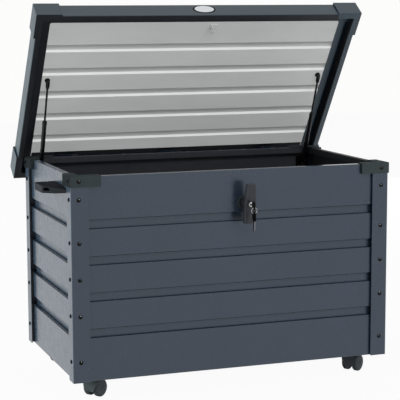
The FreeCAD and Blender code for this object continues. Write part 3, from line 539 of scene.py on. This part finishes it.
spots = []
for corner, side_x, side_y in CORNERS:
    for height in SCREW_HEIGHTS:
        proud = CAP_PROUD if height == SCREW_HEIGHTS[-1] else 0
        level = FOOT + height
        across = (HALF_WIDTH - HEAD_INSET) * side_x
        deep = (HALF_DEPTH - HEAD_INSET) * side_y
        spots.append(((across, (HALF_DEPTH + proud) * side_y, level), (0, side_y, 0)))
        spots.append((((HALF_WIDTH + proud) * side_x, deep, level), (side_x, 0, 0)))
mesh = smooth(heads_at(spots, domed_head(), HEAD_RADIUS, screw_black), TURNED_SHARP)
screws = stands_for("domed_screws", mesh, "post_screws", screw_black)

# Side handles: black moulded cup grips, closed above and hollow below for the fingers, with a
# small arched relief in the slanting front face, painted black inside as painted shade. Their tops
# are painted blacker as painted shade. They are screwed to the end walls from inside.
HANDLE_REACH, HANDLE_BASE_FRONT, HANDLE_OUTER_FRONT = 0.059, -0.200, -0.149
HANDLE_EDGE = 0.0014
ARCH_WIDTH, ARCH_LOW, ARCH_HIGH, ARCH_PLACE, ARCH_DEPTH = 0.019, 0.5776, 0.5870, 0.19, 0.005
ARCH_AHEAD, ARCH_SPRING, ARCH_STEPS, ARCH_MARGIN, ARCH_SKIN = 0.006, 0.3, 8, 0.0005, 0.0004
handle_plastic = finish_of(
    "handle_plastic", (0.030, 0.031, 0.035), 0.60, 1300.0, 0.00007, clouding=0.10, gloss=0.02
)
# painted shade: a blacker coat for the handles' upward faces
handle_top = finish_of("handle_top", (0.011, 0.012, 0.016), 0.60, 1300.0, 0.00007, clouding=0.10, gloss=0.02)
# painted shade: black inside the shallow arched relief, standing for the shade of a deep hollow
recess_black = finish_of("recess_black", (0.002, 0.002, 0.002), 0.9, 1300.0, 0.00007, gloss=0.02)


def handle_front(side):
    """The slanting front face of a handle: its outer corner, its line to the wall and its normal."""
    face = HALF_WIDTH - WALL_INSET
    outer = Vector((side * (face + HANDLE_REACH), HANDLE_OUTER_FRONT, 0))
    along = Vector((side * face, HANDLE_BASE_FRONT, 0)) - outer
    return outer, along, Vector((side * -along.y, side * along.x, 0)).normalized()


def arch_cutter(side):
    """An arched plug across the slanting front face of a handle."""
    outer, along, ahead = handle_front(side)
    middle = outer + along * ARCH_PLACE
    along.normalize()
    half, rise = ARCH_WIDTH / 2, ARCH_HIGH - ARCH_LOW
    arch = [(-half, 0), (half, 0)]
    for step in range(ARCH_STEPS + 1):
        angle = math.pi * step / ARCH_STEPS
        arch.append((half * math.cos(angle), rise * (ARCH_SPRING + (1 - ARCH_SPRING) * math.sin(angle))))
    rows = []
    for depth in (ARCH_AHEAD, -ARCH_DEPTH):
        rows.append([middle + along * x + ahead * depth + Vector((0, 0, ARCH_LOW + z)) for x, z in arch])
    count = len(arch)
    faces = [tuple(range(count)), tuple(range(2 * count - 1, count - 1, -1))]
    faces += [(i, count + i, count + (i + 1) % count, (i + 1) % count) for i in range(count)]
    mesh = bpy.data.meshes.new("arch")
    mesh.from_pydata(rows[0] + rows[1], [], faces)
    return outward(mesh)


for label, side in (("left", -1), ("right", 1)):
    shell = eased(merged_copy("side_handle_" + label), HANDLE_EDGE)
    shell = smooth(cut_by(shell, arch_cutter(side)))
    outer, along, ahead = handle_front(side)
    middle = along.length * ARCH_PLACE
    start, end = middle - ARCH_WIDTH / 2, middle + ARCH_WIDTH / 2
    along.normalize()
    numbers = []
    for polygon in shell.polygons:
        away = polygon.center - outer
        between = start - ARCH_MARGIN < away.dot(along) < end + ARCH_MARGIN
        level = ARCH_LOW - ARCH_MARGIN < away.z < ARCH_HIGH + ARCH_MARGIN
        sunk = -ARCH_DEPTH - ARCH_MARGIN < away.dot(ahead) < -ARCH_SKIN
        # arch faces take the black painted shade, upward faces the blacker painted shade
        numbers.append(1 if between and level and sunk else 2 if polygon.normal.z > 0.7 else 0)
    shell.polygons.foreach_set("material_index", numbers)
    stands_for("cup_handle_" + label, shell, "side_handle_" + label, handle_plastic, recess_black, handle_top)

# Casters: twin-wheel furniture casters. A zinc top plate with its kingpin is screwed under the
# floor, and a moulded hood with the axle turns on it between two hard rubber wheels.
WHEEL_RADIUS, WHEEL_BORE, WHEEL_NEAR, WHEEL_FAR, DISC_RADIUS = 0.025, 0.00305, 0.0093, 0.0263, 0.0212
TREADS, TREAD_HALF, TREAD_FLOOR_HALF, TREAD_RADIUS = (0.0146, 0.0180), 0.0006, 0.0003, 0.0244
TOP_PLATE_EDGE, DISC_EDGE = 0.0005, 0.0003
zinc_plate = finish_of("zinc_plate", (0.46, 0.47, 0.48), 0.38, 260.0, 0.00002, clouding=0.12, metallic=1.0)
caster_plastic = finish_of(
    "caster_plastic", (0.062, 0.071, 0.076), 0.50, 1300.0, 0.00007, clouding=0.08, gloss=0.05
)
wheel_rubber = finish_of(
    "wheel_rubber", (0.052, 0.060, 0.064), 0.60, 800.0, 0.00009, clouding=0.14, gloss=0.05
)
eased_part("caster_top_plates", "caster_plates", TOP_PLATE_EDGE, zinc_plate)
tyre = [(WHEEL_NEAR, DISC_RADIUS), (WHEEL_NEAR, 0.0228)]
tyre += [(WHEEL_NEAR + 0.0007, 0.0242), (WHEEL_NEAR + 0.0022, 0.0249)]
for tread in TREADS:
    tyre += [(tread - TREAD_HALF, WHEEL_RADIUS), (tread - TREAD_FLOOR_HALF, TREAD_RADIUS)]
    tyre += [(tread + TREAD_FLOOR_HALF, TREAD_RADIUS), (tread + TREAD_HALF, WHEEL_RADIUS)]
tyre += [(WHEEL_FAR - 0.0052, 0.0249), (WHEEL_FAR - 0.0044, 0.0244), (WHEEL_FAR - 0.0031, 0.0232)]
tyre += [(WHEEL_FAR - 0.0025, 0.0221), (WHEEL_FAR - 0.0027, DISC_RADIUS)]
disc = [(WHEEL_NEAR, WHEEL_BORE), (WHEEL_NEAR, DISC_RADIUS), (WHEEL_FAR - 0.0029, DISC_RADIUS)]
disc += [(WHEEL_FAR - 0.0024, 0.0207), (WHEEL_FAR - 0.0016, 0.0180), (WHEEL_FAR - 0.0010, 0.0145)]
disc += [(WHEEL_FAR - 0.0004, 0.0100), (WHEEL_FAR - 0.0001, 0.0070), (WHEEL_FAR, 0.0050)]
disc += [(WHEEL_FAR, WHEEL_BORE)]
for corner, *_ in CORNERS:
    eased_part("swivel_hood_" + corner, "caster_hood_" + corner, CAP_EDGE, caster_plastic)
    for label, way in (("inner", 1), ("outer", -1)):
        spin = joints["spin_" + label + "_" + corner]
        axle = Vector(spin["axis"]) * way
        wheel = "wheel_" + label + "_" + corner
        mesh = smooth(turned_solid(tyre, spin["pos_m"], axle, closed=True), 40.0)
        stands_for("tyre_" + label + "_" + corner, mesh, wheel, wheel_rubber)
        mesh = eased(turned_solid(disc, spin["pos_m"], axle, closed=True), DISC_EDGE, 2)
        dress(mesh, caster_plastic)
        piece = linked("wheel_disc_" + label + "_" + corner, mesh)
        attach(piece, wheel)

# Lid hinges: three steel butt hinges coated like the posts. The body leaves are screwed to the back
# wall, the lid leaves to the rear rail's ledge, with a zinc plated pin through the knuckles.
LEAF_EDGE, LEAF_GAUGE, LEAF_SCREW_RADIUS = 0.0003, 0.002, 0.0036
HINGE_PLACES, LEAF_SCREWS_ACROSS, LEAF_SCREWS_BELOW = (-0.33, 0.0, 0.33), (-0.018, 0.018), (0.018, 0.038)
eased_part("hinge_leaves_body", "hinge_body_leaves", LEAF_EDGE, post_coat)
eased_part("hinge_leaves_lid", "hinge_lid_leaves", LEAF_EDGE, post_coat)
dress(nodes["hinge_pins"].data, zinc_plate)
hinge = Vector(joints["lid_hinge"]["pos_m"])
leaf_face = HALF_DEPTH - WALL_INSET + LEAF_GAUGE
spots = []
for middle in HINGE_PLACES:
    for across in LEAF_SCREWS_ACROSS:
        for drop in LEAF_SCREWS_BELOW:
            spots.append(((middle + across, leaf_face, hinge.z - drop), (0, 1, 0)))
mesh = smooth(heads_at(spots, domed_head(16), LEAF_SCREW_RADIUS, screw_black), TURNED_SHARP)
dress(mesh, screw_black)
piece = linked("hinge_screws", mesh)
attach(piece, "root")

# Lid rails: channels folded from coated sheet, with a lip below, a top face, and a ledge inside
# that carries the lid panel. Their undersides and insides are painted near black as painted shade,
# the right rail's lighter as painted light. They are drawn closed and swung open on the hinge.
LID_HALF_X, LID_HALF_Y, LID_BASE = 0.495, 0.298, 0.6008
RAIL_HEIGHT, RAIL_GAUGE, RAIL_LIP, RAIL_TOP, RAIL_STOP = 0.052, 0.001, 0.016, 0.025, 0.048
RAIL_FOLD = 0.0022
LEDGE_LEVEL, LEDGE_SIDE, LEDGE_FRONT, LEDGE_REAR = 0.029, 0.046, 0.044, 0.070
swing = math.radians(joints["lid_hinge"]["range_deg"][0])
LID_OPEN = Matrix.Translation(hinge) @ Matrix.Rotation(swing, 4, "X") @ Matrix.Translation(-hinge)
rail_coat = finish_of("rail_coat", (0.036, 0.056, 0.073), 0.40, 900.0, 0.000002, clouding=0.05, gloss=0.45)
# painted shade: near black for rail undersides and insides and the left lid caps' insides
painted_shade_coat = finish_of("dark_back_coat", (0.019, 0.021, 0.025), 0.36, 900.0, 0.00002, clouding=0.08, gloss=0.2)


def rail_mesh(side, half, half_other, ledge, turned):
    """One rail with a number on each face for its finish: outside, underside or inside."""
    part = RAIL_GAUGE / 2
    top, step = RAIL_HEIGHT - part, LEDGE_LEVEL - part
    line = [(RAIL_LIP, part), (part, part), (part, top)]
    line += [(RAIL_TOP - part, top), (RAIL_TOP - part, step), (ledge, step)]
    end = half_other - RAIL_STOP
    if turned:
        section = [((half - depth) * side, -end, LID_BASE + height) for depth, height in line]
        run = (0, 2 * end, 0)
    else:
        section = [(-end, (half - depth) * side, LID_BASE + height) for depth, height in line]
        run = (2 * end, 0, 0)
    mesh = sheet_piece(section, run, RAIL_GAUGE, RAIL_FOLD, rail_coat)
    across = 0 if turned else 1
    shown = []
    for polygon in mesh.polygons:
        outer = half - polygon.center[across] * side < RAIL_FOLD and polygon.normal[across] * side > 0.2
        above = polygon.center.z > LID_BASE + RAIL_HEIGHT - RAIL_FOLD and polygon.normal.z > 0.2
        shown.append(0 if outer or above else 1 if polygon.normal.z < -0.5 else 2)
    mesh.transform(LID_OPEN)
    mesh = smooth(mesh)
    mesh.polygons.foreach_set("material_index", shown)
    return mesh


for label, side, half, half_other, ledge, turned in (
    ("front", -1, LID_HALF_Y, LID_HALF_X, LEDGE_FRONT, False),
    ("back", 1, LID_HALF_Y, LID_HALF_X, LEDGE_REAR, False),
    ("left", -1, LID_HALF_X, LID_HALF_Y, LEDGE_SIDE, True),
    ("right", 1, LID_HALF_X, LID_HALF_Y, LEDGE_SIDE, True),
):
    mesh = rail_mesh(side, half, half_other, ledge, turned)
    # painted shade under and inside these rails; the right rail's lighter coats are painted light
    under = (rail_coat, inner_coat) if label == "right" else (painted_shade_coat, painted_shade_coat)
    stands_for("lid_channel_" + label, mesh, "lid_rail_" + label, rail_coat, *under)

# Lid corner caps: moulded in the colour of the rails, plugged into the rail ends and riveted from
# inside, a little proud of the rails all round. The left ones' insides are painted shade, like their rails.
CAP_STEP = 0.0005
LID_SHUT = LID_OPEN.inverted()
lid_cap_plastic = finish_of(
    "lid_cap_plastic", (0.036, 0.055, 0.071), 0.42, 1400.0, 0.00004, clouding=0.05, gloss=0.4
)
for corner, side_x, side_y in CORNERS:
    mesh = eased(merged_copy("lid_cap_" + corner), CAP_EDGE)
    numbers = []
    for polygon in mesh.polygons:
        place = LID_SHUT @ polygon.center
        facing = LID_SHUT.to_3x3() @ polygon.normal
        proud = max(place.x * side_x - LID_HALF_X, place.y * side_y - LID_HALF_Y)
        # the left caps' inner faces take the painted shade coat
        numbers.append(0 if proud > CAP_STEP or facing.z > 0.2 or side_x > 0 else 1)
    mesh.polygons.foreach_set("material_index", numbers)
    stands_for("lid_corner_" + corner, mesh, "lid_cap_" + corner, lid_cap_plastic, painted_shade_coat)

# Lid panel: one coil-coated sheet on the ledges, dark above and pale grey below, stiffened by five
# rolled ribs with a long curved slope towards the front and a short steep one behind.
SHEET_GAP, SHEET_GAUGE = 0.0255, 0.0008
RIB_PITCH, RIB_RISE, RIB_FRONT, RIB_CREST, RIB_REAR = 0.0838, 0.006, 0.0086, 0.0134, 0.0179
RIB_STEPS, RIB_CURVE = 12, 2.2
pale_back = finish_of(
    "pale_back_coat", (0.50, 0.505, 0.50), 0.34, 1100.0, 0.00002, clouding=0.04, streak=(0.3, 1, 1)
)
sheet_y = LID_HALF_Y - SHEET_GAP
level = LID_BASE + LEDGE_LEVEL + SHEET_GAUGE / 2
line = [(-sheet_y, level)]
for row in (-2, -1, 0, 1, 2):
    middle = row * RIB_PITCH
    for step in range(RIB_STEPS + 1):
        share = step / RIB_STEPS
        height = RIB_RISE * (1 - (1 - share) ** RIB_CURVE)
        line.append((middle - RIB_FRONT + share * (RIB_FRONT + RIB_CREST), level + height))
    line.append((middle + RIB_REAR, level))
line.append((sheet_y, level))
sheet_x = LID_HALF_X - SHEET_GAP
section = [(-sheet_x, y, z) for y, z in line]
mesh = sheet_piece(section, (2 * sheet_x, 0, 0), SHEET_GAUGE, 0.0, pale_back)
below = [polygon.normal.z < -0.2 for polygon in mesh.polygons]
mesh.transform(LID_OPEN)
mesh = smooth(mesh, 15.0)
mesh.polygons.foreach_set("material_index", [0 if under else 1 for under in below])
lid_sheet = stands_for("lid_sheet", mesh, "lid_panel", pale_back, rail_coat)

# Plain oval plate on the front rail: a bare pressed plate with a dark raised rim, stuck to the
# middle of the rail's outer face.
PLATE_LONG, PLATE_TALL, PLATE_RIGHT, PLATE_RAISED = 0.0345, 0.0185, 0.0043, 0.003
OVAL_STEPS, RIM_LOOPS = 64, 4
OVAL_LOOPS = ((1.0, 0.0), (1.0, 0.0008), (0.96, 0.0013), (0.90, 0.0013), (0.86, 0.0007), (0.50, 0.0009))
plate_silver = finish_of("plate_silver", (0.90, 0.91, 0.94), 0.35, 500.0, 0.00001, clouding=0.04)
shape = bmesh.new()
rings = []
for share, height in OVAL_LOOPS:
    ring = []
    for step in range(OVAL_STEPS):
        angle = math.tau * step / OVAL_STEPS
        x, z = PLATE_LONG * share * math.cos(angle), PLATE_TALL * share * math.sin(angle)
        level = LID_BASE + RAIL_HEIGHT / 2 + PLATE_RAISED + z
        ring.append(shape.verts.new((PLATE_RIGHT + x, -LID_HALF_Y - height, level)))
    rings.append(ring)
for row, (near, far) in enumerate(zip(rings, rings[1:])):
    for step in range(OVAL_STEPS):
        after = (step + 1) % OVAL_STEPS
        face = shape.faces.new((near[step], near[after], far[after], far[step]))
        face.material_index = 0 if row < RIM_LOOPS else 1
shape.faces.new(rings[-1]).material_index = 1
shape.faces.new(rings[0])
bmesh.ops.recalc_face_normals(shape, faces=shape.faces)
mesh = bpy.data.meshes.new("oval")
shape.to_mesh(mesh)
shape.free()
mesh.transform(LID_OPEN)
mesh = smooth(mesh, TURNED_SHARP)
dress(mesh, screw_black, plate_silver)
piece = linked("oval_plate", mesh)
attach(piece, "lid")

# Lid struts: black gas struts. The tube turns on a pin at the back wall, its rod slides out to a
# moulded ball socket on a stud under the lid. The brackets are steel with a black zinc finish.
TUBE_RADIUS, TUBE_END, COLLAR_RADIUS, TUBE_NECK = 0.0065, 0.186, 0.0070, 0.0036
ROD_RADIUS, ROD_PLAY, ROD_FOOT, SOCKET_BACK = 0.003, 0.0003, 0.150, 0.0064
EYE_RADIUS, EYE_HALF, EYE_EDGE, PIN_BORE, BRACKET_EDGE = 0.007, 0.004, 0.001, 0.00305, 0.0004
strut_black = finish_of("strut_black", (0.005, 0.005, 0.006), 0.28, 1200.0, 0.00002, clouding=0.10, gloss=0.3)
eased_part("wall_brackets", "strut_lower_brackets", BRACKET_EDGE, strut_black)
eased_part("lid_brackets", "strut_upper_brackets", BRACKET_EDGE, strut_black)
for label in ("left", "right"):
    foot = Vector(joints["strut_swing_" + label]["pos_m"])
    way = Vector(joints["strut_slide_" + label]["axis"]).normalized()
    length = (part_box("strut_rod_" + label)[1].z - foot.z) / way.z - SOCKET_BACK
    eye = [(-EYE_HALF, PIN_BORE), (-EYE_HALF, EYE_RADIUS - EYE_EDGE), (EYE_EDGE - EYE_HALF, EYE_RADIUS)]
    eye += [(EYE_HALF - EYE_EDGE, EYE_RADIUS), (EYE_HALF, EYE_RADIUS - EYE_EDGE), (EYE_HALF, PIN_BORE)]
    tube = [(0.0062, 0), (0.0062, TUBE_NECK), (0.018, TUBE_NECK), (0.020, 0.0048), (0.0215, TUBE_RADIUS)]
    tube += [(TUBE_END - 0.012, TUBE_RADIUS), (TUBE_END - 0.0115, COLLAR_RADIUS)]
    tube += [(TUBE_END - 0.002, COLLAR_RADIUS), (TUBE_END, 0.0058), (TUBE_END, ROD_RADIUS + ROD_PLAY)]
    tube += [(TUBE_END - 0.02, ROD_RADIUS + ROD_PLAY), (TUBE_END - 0.02, 0)]
    parts = [turned_solid(eye, foot, (1, 0, 0), 32, closed=True), turned_solid(tube, foot, way, 32)]
    stands_for("strut_tube_" + label, smooth(joined(parts)), "strut_cylinder_" + label, strut_black)
    rod = [(ROD_FOOT, 0), (ROD_FOOT, ROD_RADIUS), (length - 0.022, ROD_RADIUS)]
    rod += [(length - 0.0215, 0.0044), (length - 0.017, 0.0054), (length - 0.012, 0.0059)]
    rod += [(length - 0.003, 0.0060), (length + 0.002, 0.0059), (length + 0.005, 0.0046)]
    rod += [(length + 0.006, 0.0030), (length + 0.006, 0)]
    mesh = smooth(turned_solid(rod, foot, way, 32), 45.0)
    stands_for("strut_rod_and_socket_" + label, mesh, "strut_rod_" + label, strut_black)

# Turning grip and lock: a cast rosette on the front wall, a raked black grip on a spindle, a cam on
# its inner end that hooks into a keeper under the lid, and a bright key plug.
SPINDLE_BORE, ROSETTE_RADIUS, PLUG_RADIUS, PLUG_LENGTH = 0.00805, 0.0195, 0.0070, 0.022
NUT_EDGE, CAM_EDGE = 0.0005, 0.0003
lock_black = finish_of("lock_black", (0.028, 0.030, 0.036), 0.42, 1000.0, 0.00004, clouding=0.08, gloss=0.35)
bright_plate = finish_of(
    "bright_plate", (0.72, 0.73, 0.74), 0.14, 600.0, 0.00001, clouding=0.05, metallic=1.0
)
panel_face = WALL_INSET - HALF_DEPTH
rosette = [(0, SPINDLE_BORE), (0, ROSETTE_RADIUS), (0.0010, ROSETTE_RADIUS), (0.0021, 0.0190)]
rosette += [(0.0028, 0.0175), (0.0030, 0.0158), (0.0026, 0.0150), (0.0026, SPINDLE_BORE)]
mesh = smooth(turned_solid(rosette, (lock_x, panel_face, lock_z), (0, -1, 0), closed=True), TURNED_SHARP)
stands_for("lock_flange", mesh, "lock_rosette", cap_plastic)
stands_for("turning_grip", smooth(merged_copy("lock_handle"), 32.0), "lock_handle", lock_black)
plug_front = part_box("lock_plug")[0].y
plug = [(0.0010, 0), (0.0010, 0.0046), (0.0003, 0.0051), (0.0, 0.0057), (0.0, 0.0065)]
plug += [(0.0005, PLUG_RADIUS), (PLUG_LENGTH, PLUG_RADIUS), (PLUG_LENGTH, 0)]
mesh = smooth(turned_solid(plug, (lock_x, plug_front, lock_z), (0, 1, 0)), TURNED_SHARP)
stands_for("key_plug", mesh, "lock_plug", bright_plate)
eased_part("spindle_nut", "lock_nut", NUT_EDGE, zinc_plate)
eased_part("cam_plate", "lock_cam", CAM_EDGE, zinc_plate)
keeper = eased_part("cam_keeper", "lock_keeper", CAM_EDGE, pale_back)

# Keys: one in the plug and a spare on a split ring. Each is a stamped steel blade with a black bow
# moulded round its end, and the ring is almost two turns of bright wire.
KEY_SHOULDER, SPARE_SHOULDER, KEY_EDGE = 0.0054, 0.0225, 0.0005
WIRE_RADIUS, RING_TURNS, RING_STEPS, TURN_PITCH = 0.00055, 1.9, 96, 2.05
blade_steel = finish_of("blade_steel", (0.20, 0.20, 0.21), 0.30, 600.0, 0.00001, clouding=0.08, metallic=1.0)
key_black = finish_of("key_black", (0.003, 0.003, 0.003), 0.40, 900.0, 0.00003, clouding=0.10, gloss=0.06)
ring_at = Vector(joints["ring_swing"]["pos_m"])
spare_at = Vector(joints["spare_key_swing"]["pos_m"])
key_ring = (ring_at + spare_at) / 2
ring_radius = (ring_at.z - spare_at.z) / 2
mesh = eased(merged_copy("lock_key"), KEY_EDGE)
blade = [polygon.center.y > plug_front - KEY_SHOULDER for polygon in mesh.polygons]
mesh.polygons.foreach_set("material_index", [1 if metal else 0 for metal in blade])
stands_for("key_in_plug", mesh, "lock_key", key_black, bright_plate)
mesh = eased(merged_copy("spare_key"), KEY_EDGE)
blade = [polygon.center.z < spare_at.z - SPARE_SHOULDER for polygon in mesh.polygons]
mesh.polygons.foreach_set("material_index", [1 if metal else 0 for metal in blade])
stands_for("key_on_ring", mesh, "spare_key", key_black, blade_steel)
coil = bpy.data.curves.new("coil", "CURVE")
coil.dimensions = "3D"
coil.bevel_depth, coil.bevel_resolution, coil.use_fill_caps = WIRE_RADIUS, 3, True
spline = coil.splines.new("POLY")
spline.points.add(RING_STEPS)
for step, point in enumerate(spline.points):
    angle = math.tau * RING_TURNS * step / RING_STEPS
    rise = WIRE_RADIUS * TURN_PITCH * (step / RING_STEPS - 0.5) * RING_TURNS / 2
    place = key_ring + Vector((ring_radius * math.cos(angle), rise, ring_radius * math.sin(angle)))
    point.co = (*place, 1)
coil_piece = linked("coil", coil)
graph = bpy.context.evaluated_depsgraph_get()
mesh = bpy.data.meshes.new_from_object(coil_piece.evaluated_get(graph))
bpy.data.objects.remove(coil_piece)
stands_for("split_ring", smooth(mesh, TURNED_SHARP), "key_ring", bright_plate)

# The camera stands in front of the box, to its left and above the rim: a long lens, aimed to the
# right and slightly down.
YAW, PITCH, ROLL = math.radians(19.77), math.radians(7.87), math.radians(-0.21)
CAMERA_PLACE, FOCAL_LENGTH, SENSOR_WIDTH = (-1.39795, -3.86777, 1.0746), 125.87, 36.0
look = Vector((math.sin(YAW) * math.cos(PITCH), math.cos(YAW) * math.cos(PITCH), -math.sin(PITCH)))
across = Vector((math.cos(YAW), -math.sin(YAW), 0))
upward = across.cross(look)
right = across * math.cos(ROLL) + upward * math.sin(ROLL)
above = upward * math.cos(ROLL) - across * math.sin(ROLL)
lens = bpy.data.cameras.new("photo_camera")
lens.lens, lens.sensor_width = FOCAL_LENGTH, SENSOR_WIDTH
lens.clip_start, lens.clip_end = 0.1, 60.0
camera = bpy.data.objects.new("photo_camera", lens)
camera.matrix_world = Matrix((right, above, -look)).transposed().to_4x4()
camera.location = CAMERA_PLACE
scene.collection.objects.link(camera)
scene.camera = camera


# The studio: a white sweep in a white surround, a low light at the front right, and soft ones from
# the left, the front, above and behind. Gloss mirrors the same white that the camera sees.
def lamp(name, place, aim, size, power, tint=(1, 1, 1), mirrored=True):
    """A rectangular area light, aimed at a point; one that isn't mirrored leaves no glint."""
    light = bpy.data.lights.new(name, "AREA")
    light.shape = "RECTANGLE"
    light.size, light.size_y = size
    light.energy = power
    light.color = tint
    stand = bpy.data.objects.new(name, light)
    stand.location = place
    stand.rotation_euler = (Vector(aim) - Vector(place)).to_track_quat("-Z", "Y").to_euler()
    stand.visible_glossy = mirrored
    scene.collection.objects.link(stand)
    return stand


MIDDLE = (0, 0, 0.45)
key = lamp("key_front_right", (1.25, -4.2, 0.15), MIDDLE, (0.75, 0.75), 90, mirrored=False)
lamp("front_fill", (0.3, -3.6, 3.6), MIDDLE, (2.0, 1.0), 36, mirrored=False)
left = lamp(
    "left_side_light", (-4.2, 0.6, 1.2), MIDDLE, (2.6, 2.2), 185, tint=(0.92, 1.05, 1.0), mirrored=False
)
lamp("back_fill", (2.9, 3.6, 1.3), MIDDLE, (2.6, 2.2), 120, mirrored=False)
lamp("top_light", (0.0, -0.6, 4.2), MIDDLE, (3.0, 2.0), 20)
lid_light = lamp("lid_soft_light", (0.3, -8.5, 4.6), (0, 0.1, 0.85), (9.0, 2.4), 1030, mirrored=False)
catch = lamp("catch_light", (0.8, -3.6, 2.3), MIDDLE, (0.5, 0.5), 2000)

# the lid's pale sheet is shielded from the key and has a broad soft light of its own, the matt caps
# are shielded from the left, and the small catch light is for the screw heads alone; the rails cast
# no shade in the lid's own light
pale_pieces = (lid_sheet, keeper)
for stand, pieces, state in (
    (key, pale_pieces, "EXCLUDE"), (lid_light, pale_pieces, "INCLUDE"),
    (left, box_caps, "EXCLUDE"), (catch, (screws,), "INCLUDE"),
):
    receivers = bpy.data.collections.new(stand.name + "_receivers")
    for piece in pieces:
        receivers.objects.link(piece)
    for entry in receivers.collection_objects:
        entry.light_linking.link_state = state
    stand.light_linking.receiver_collection = receivers
    if stand == lid_light:
        stand.light_linking.blocker_collection = receivers


def seen_directly(tree):
    """1 for rays that show the surround itself: camera, gloss and see-through."""
    path = tree.nodes.new("ShaderNodeLightPath").outputs
    shown = maths(tree, "ADD", path["Is Camera Ray"], path["Is Glossy Ray"])
    return maths(tree, "MINIMUM", maths(tree, "ADD", shown, path["Is Transmission Ray"]), 1.0)


SURROUND_WHITE, SURROUND_FILL, FILL_STRENGTH = (0.975, 0.975, 0.968, 1), (0.95, 0.98, 1.0, 1), 0.2
world = bpy.data.worlds.new("white_surround")
scene.world = world
world.cycles.sampling_method = "NONE"
world.use_nodes = True
tree = world.node_tree
tree.nodes.clear()
out = tree.nodes.new("ShaderNodeOutputWorld")
shown_white = tree.nodes.new("ShaderNodeBackground")
shown_white.inputs["Color"].default_value = SURROUND_WHITE
fill = tree.nodes.new("ShaderNodeBackground")
fill.inputs["Color"].default_value = SURROUND_FILL
fill.inputs["Strength"].default_value = FILL_STRENGTH
mix = tree.nodes.new("ShaderNodeMixShader")
join_up(
    tree,
    (seen_directly(tree), mix.inputs["Fac"]),
    (fill.outputs[0], mix.inputs[1]),
    (shown_white.outputs[0], mix.inputs[2]),
    (mix.outputs[0], out.inputs["Surface"]),
)

SWEEP_REACH, SWEEP_GLOW, SWEEP_GREY = 9.0, 0.95, (0.60, 0.60, 0.60, 1)
mesh = bpy.data.meshes.new("sweep")
edges = ((-1, -1), (1, -1), (1, 1), (-1, 1))
mesh.from_pydata([(x * SWEEP_REACH, y * SWEEP_REACH, 0) for x, y in edges], [], [(0, 1, 2, 3)])
sweep = linked("sweep", mesh)
sweep_white = bpy.data.materials.new("white_sweep")
sweep_white.use_nodes = True
sweep_white.cycles.emission_sampling = "NONE"
tree = sweep_white.node_tree
shader = tree.nodes["Principled BSDF"]
shader.inputs["Base Color"].default_value = SWEEP_GREY
shader.inputs["Roughness"].default_value = 0.9
glow = tree.nodes.new("ShaderNodeEmission")
glow.inputs["Color"].default_value = (1, 1, 1, 1)
mix = tree.nodes.new("ShaderNodeMixShader")
join_up(
    tree,
    (maths(tree, "MULTIPLY", seen_directly(tree), SWEEP_GLOW), mix.inputs["Fac"]),
    (shader.outputs[0], mix.inputs[1]),
    (glow.outputs[0], mix.inputs[2]),
    (mix.outputs[0], tree.nodes["Material Output"].inputs["Surface"]),
)
dress(mesh, sweep_white)
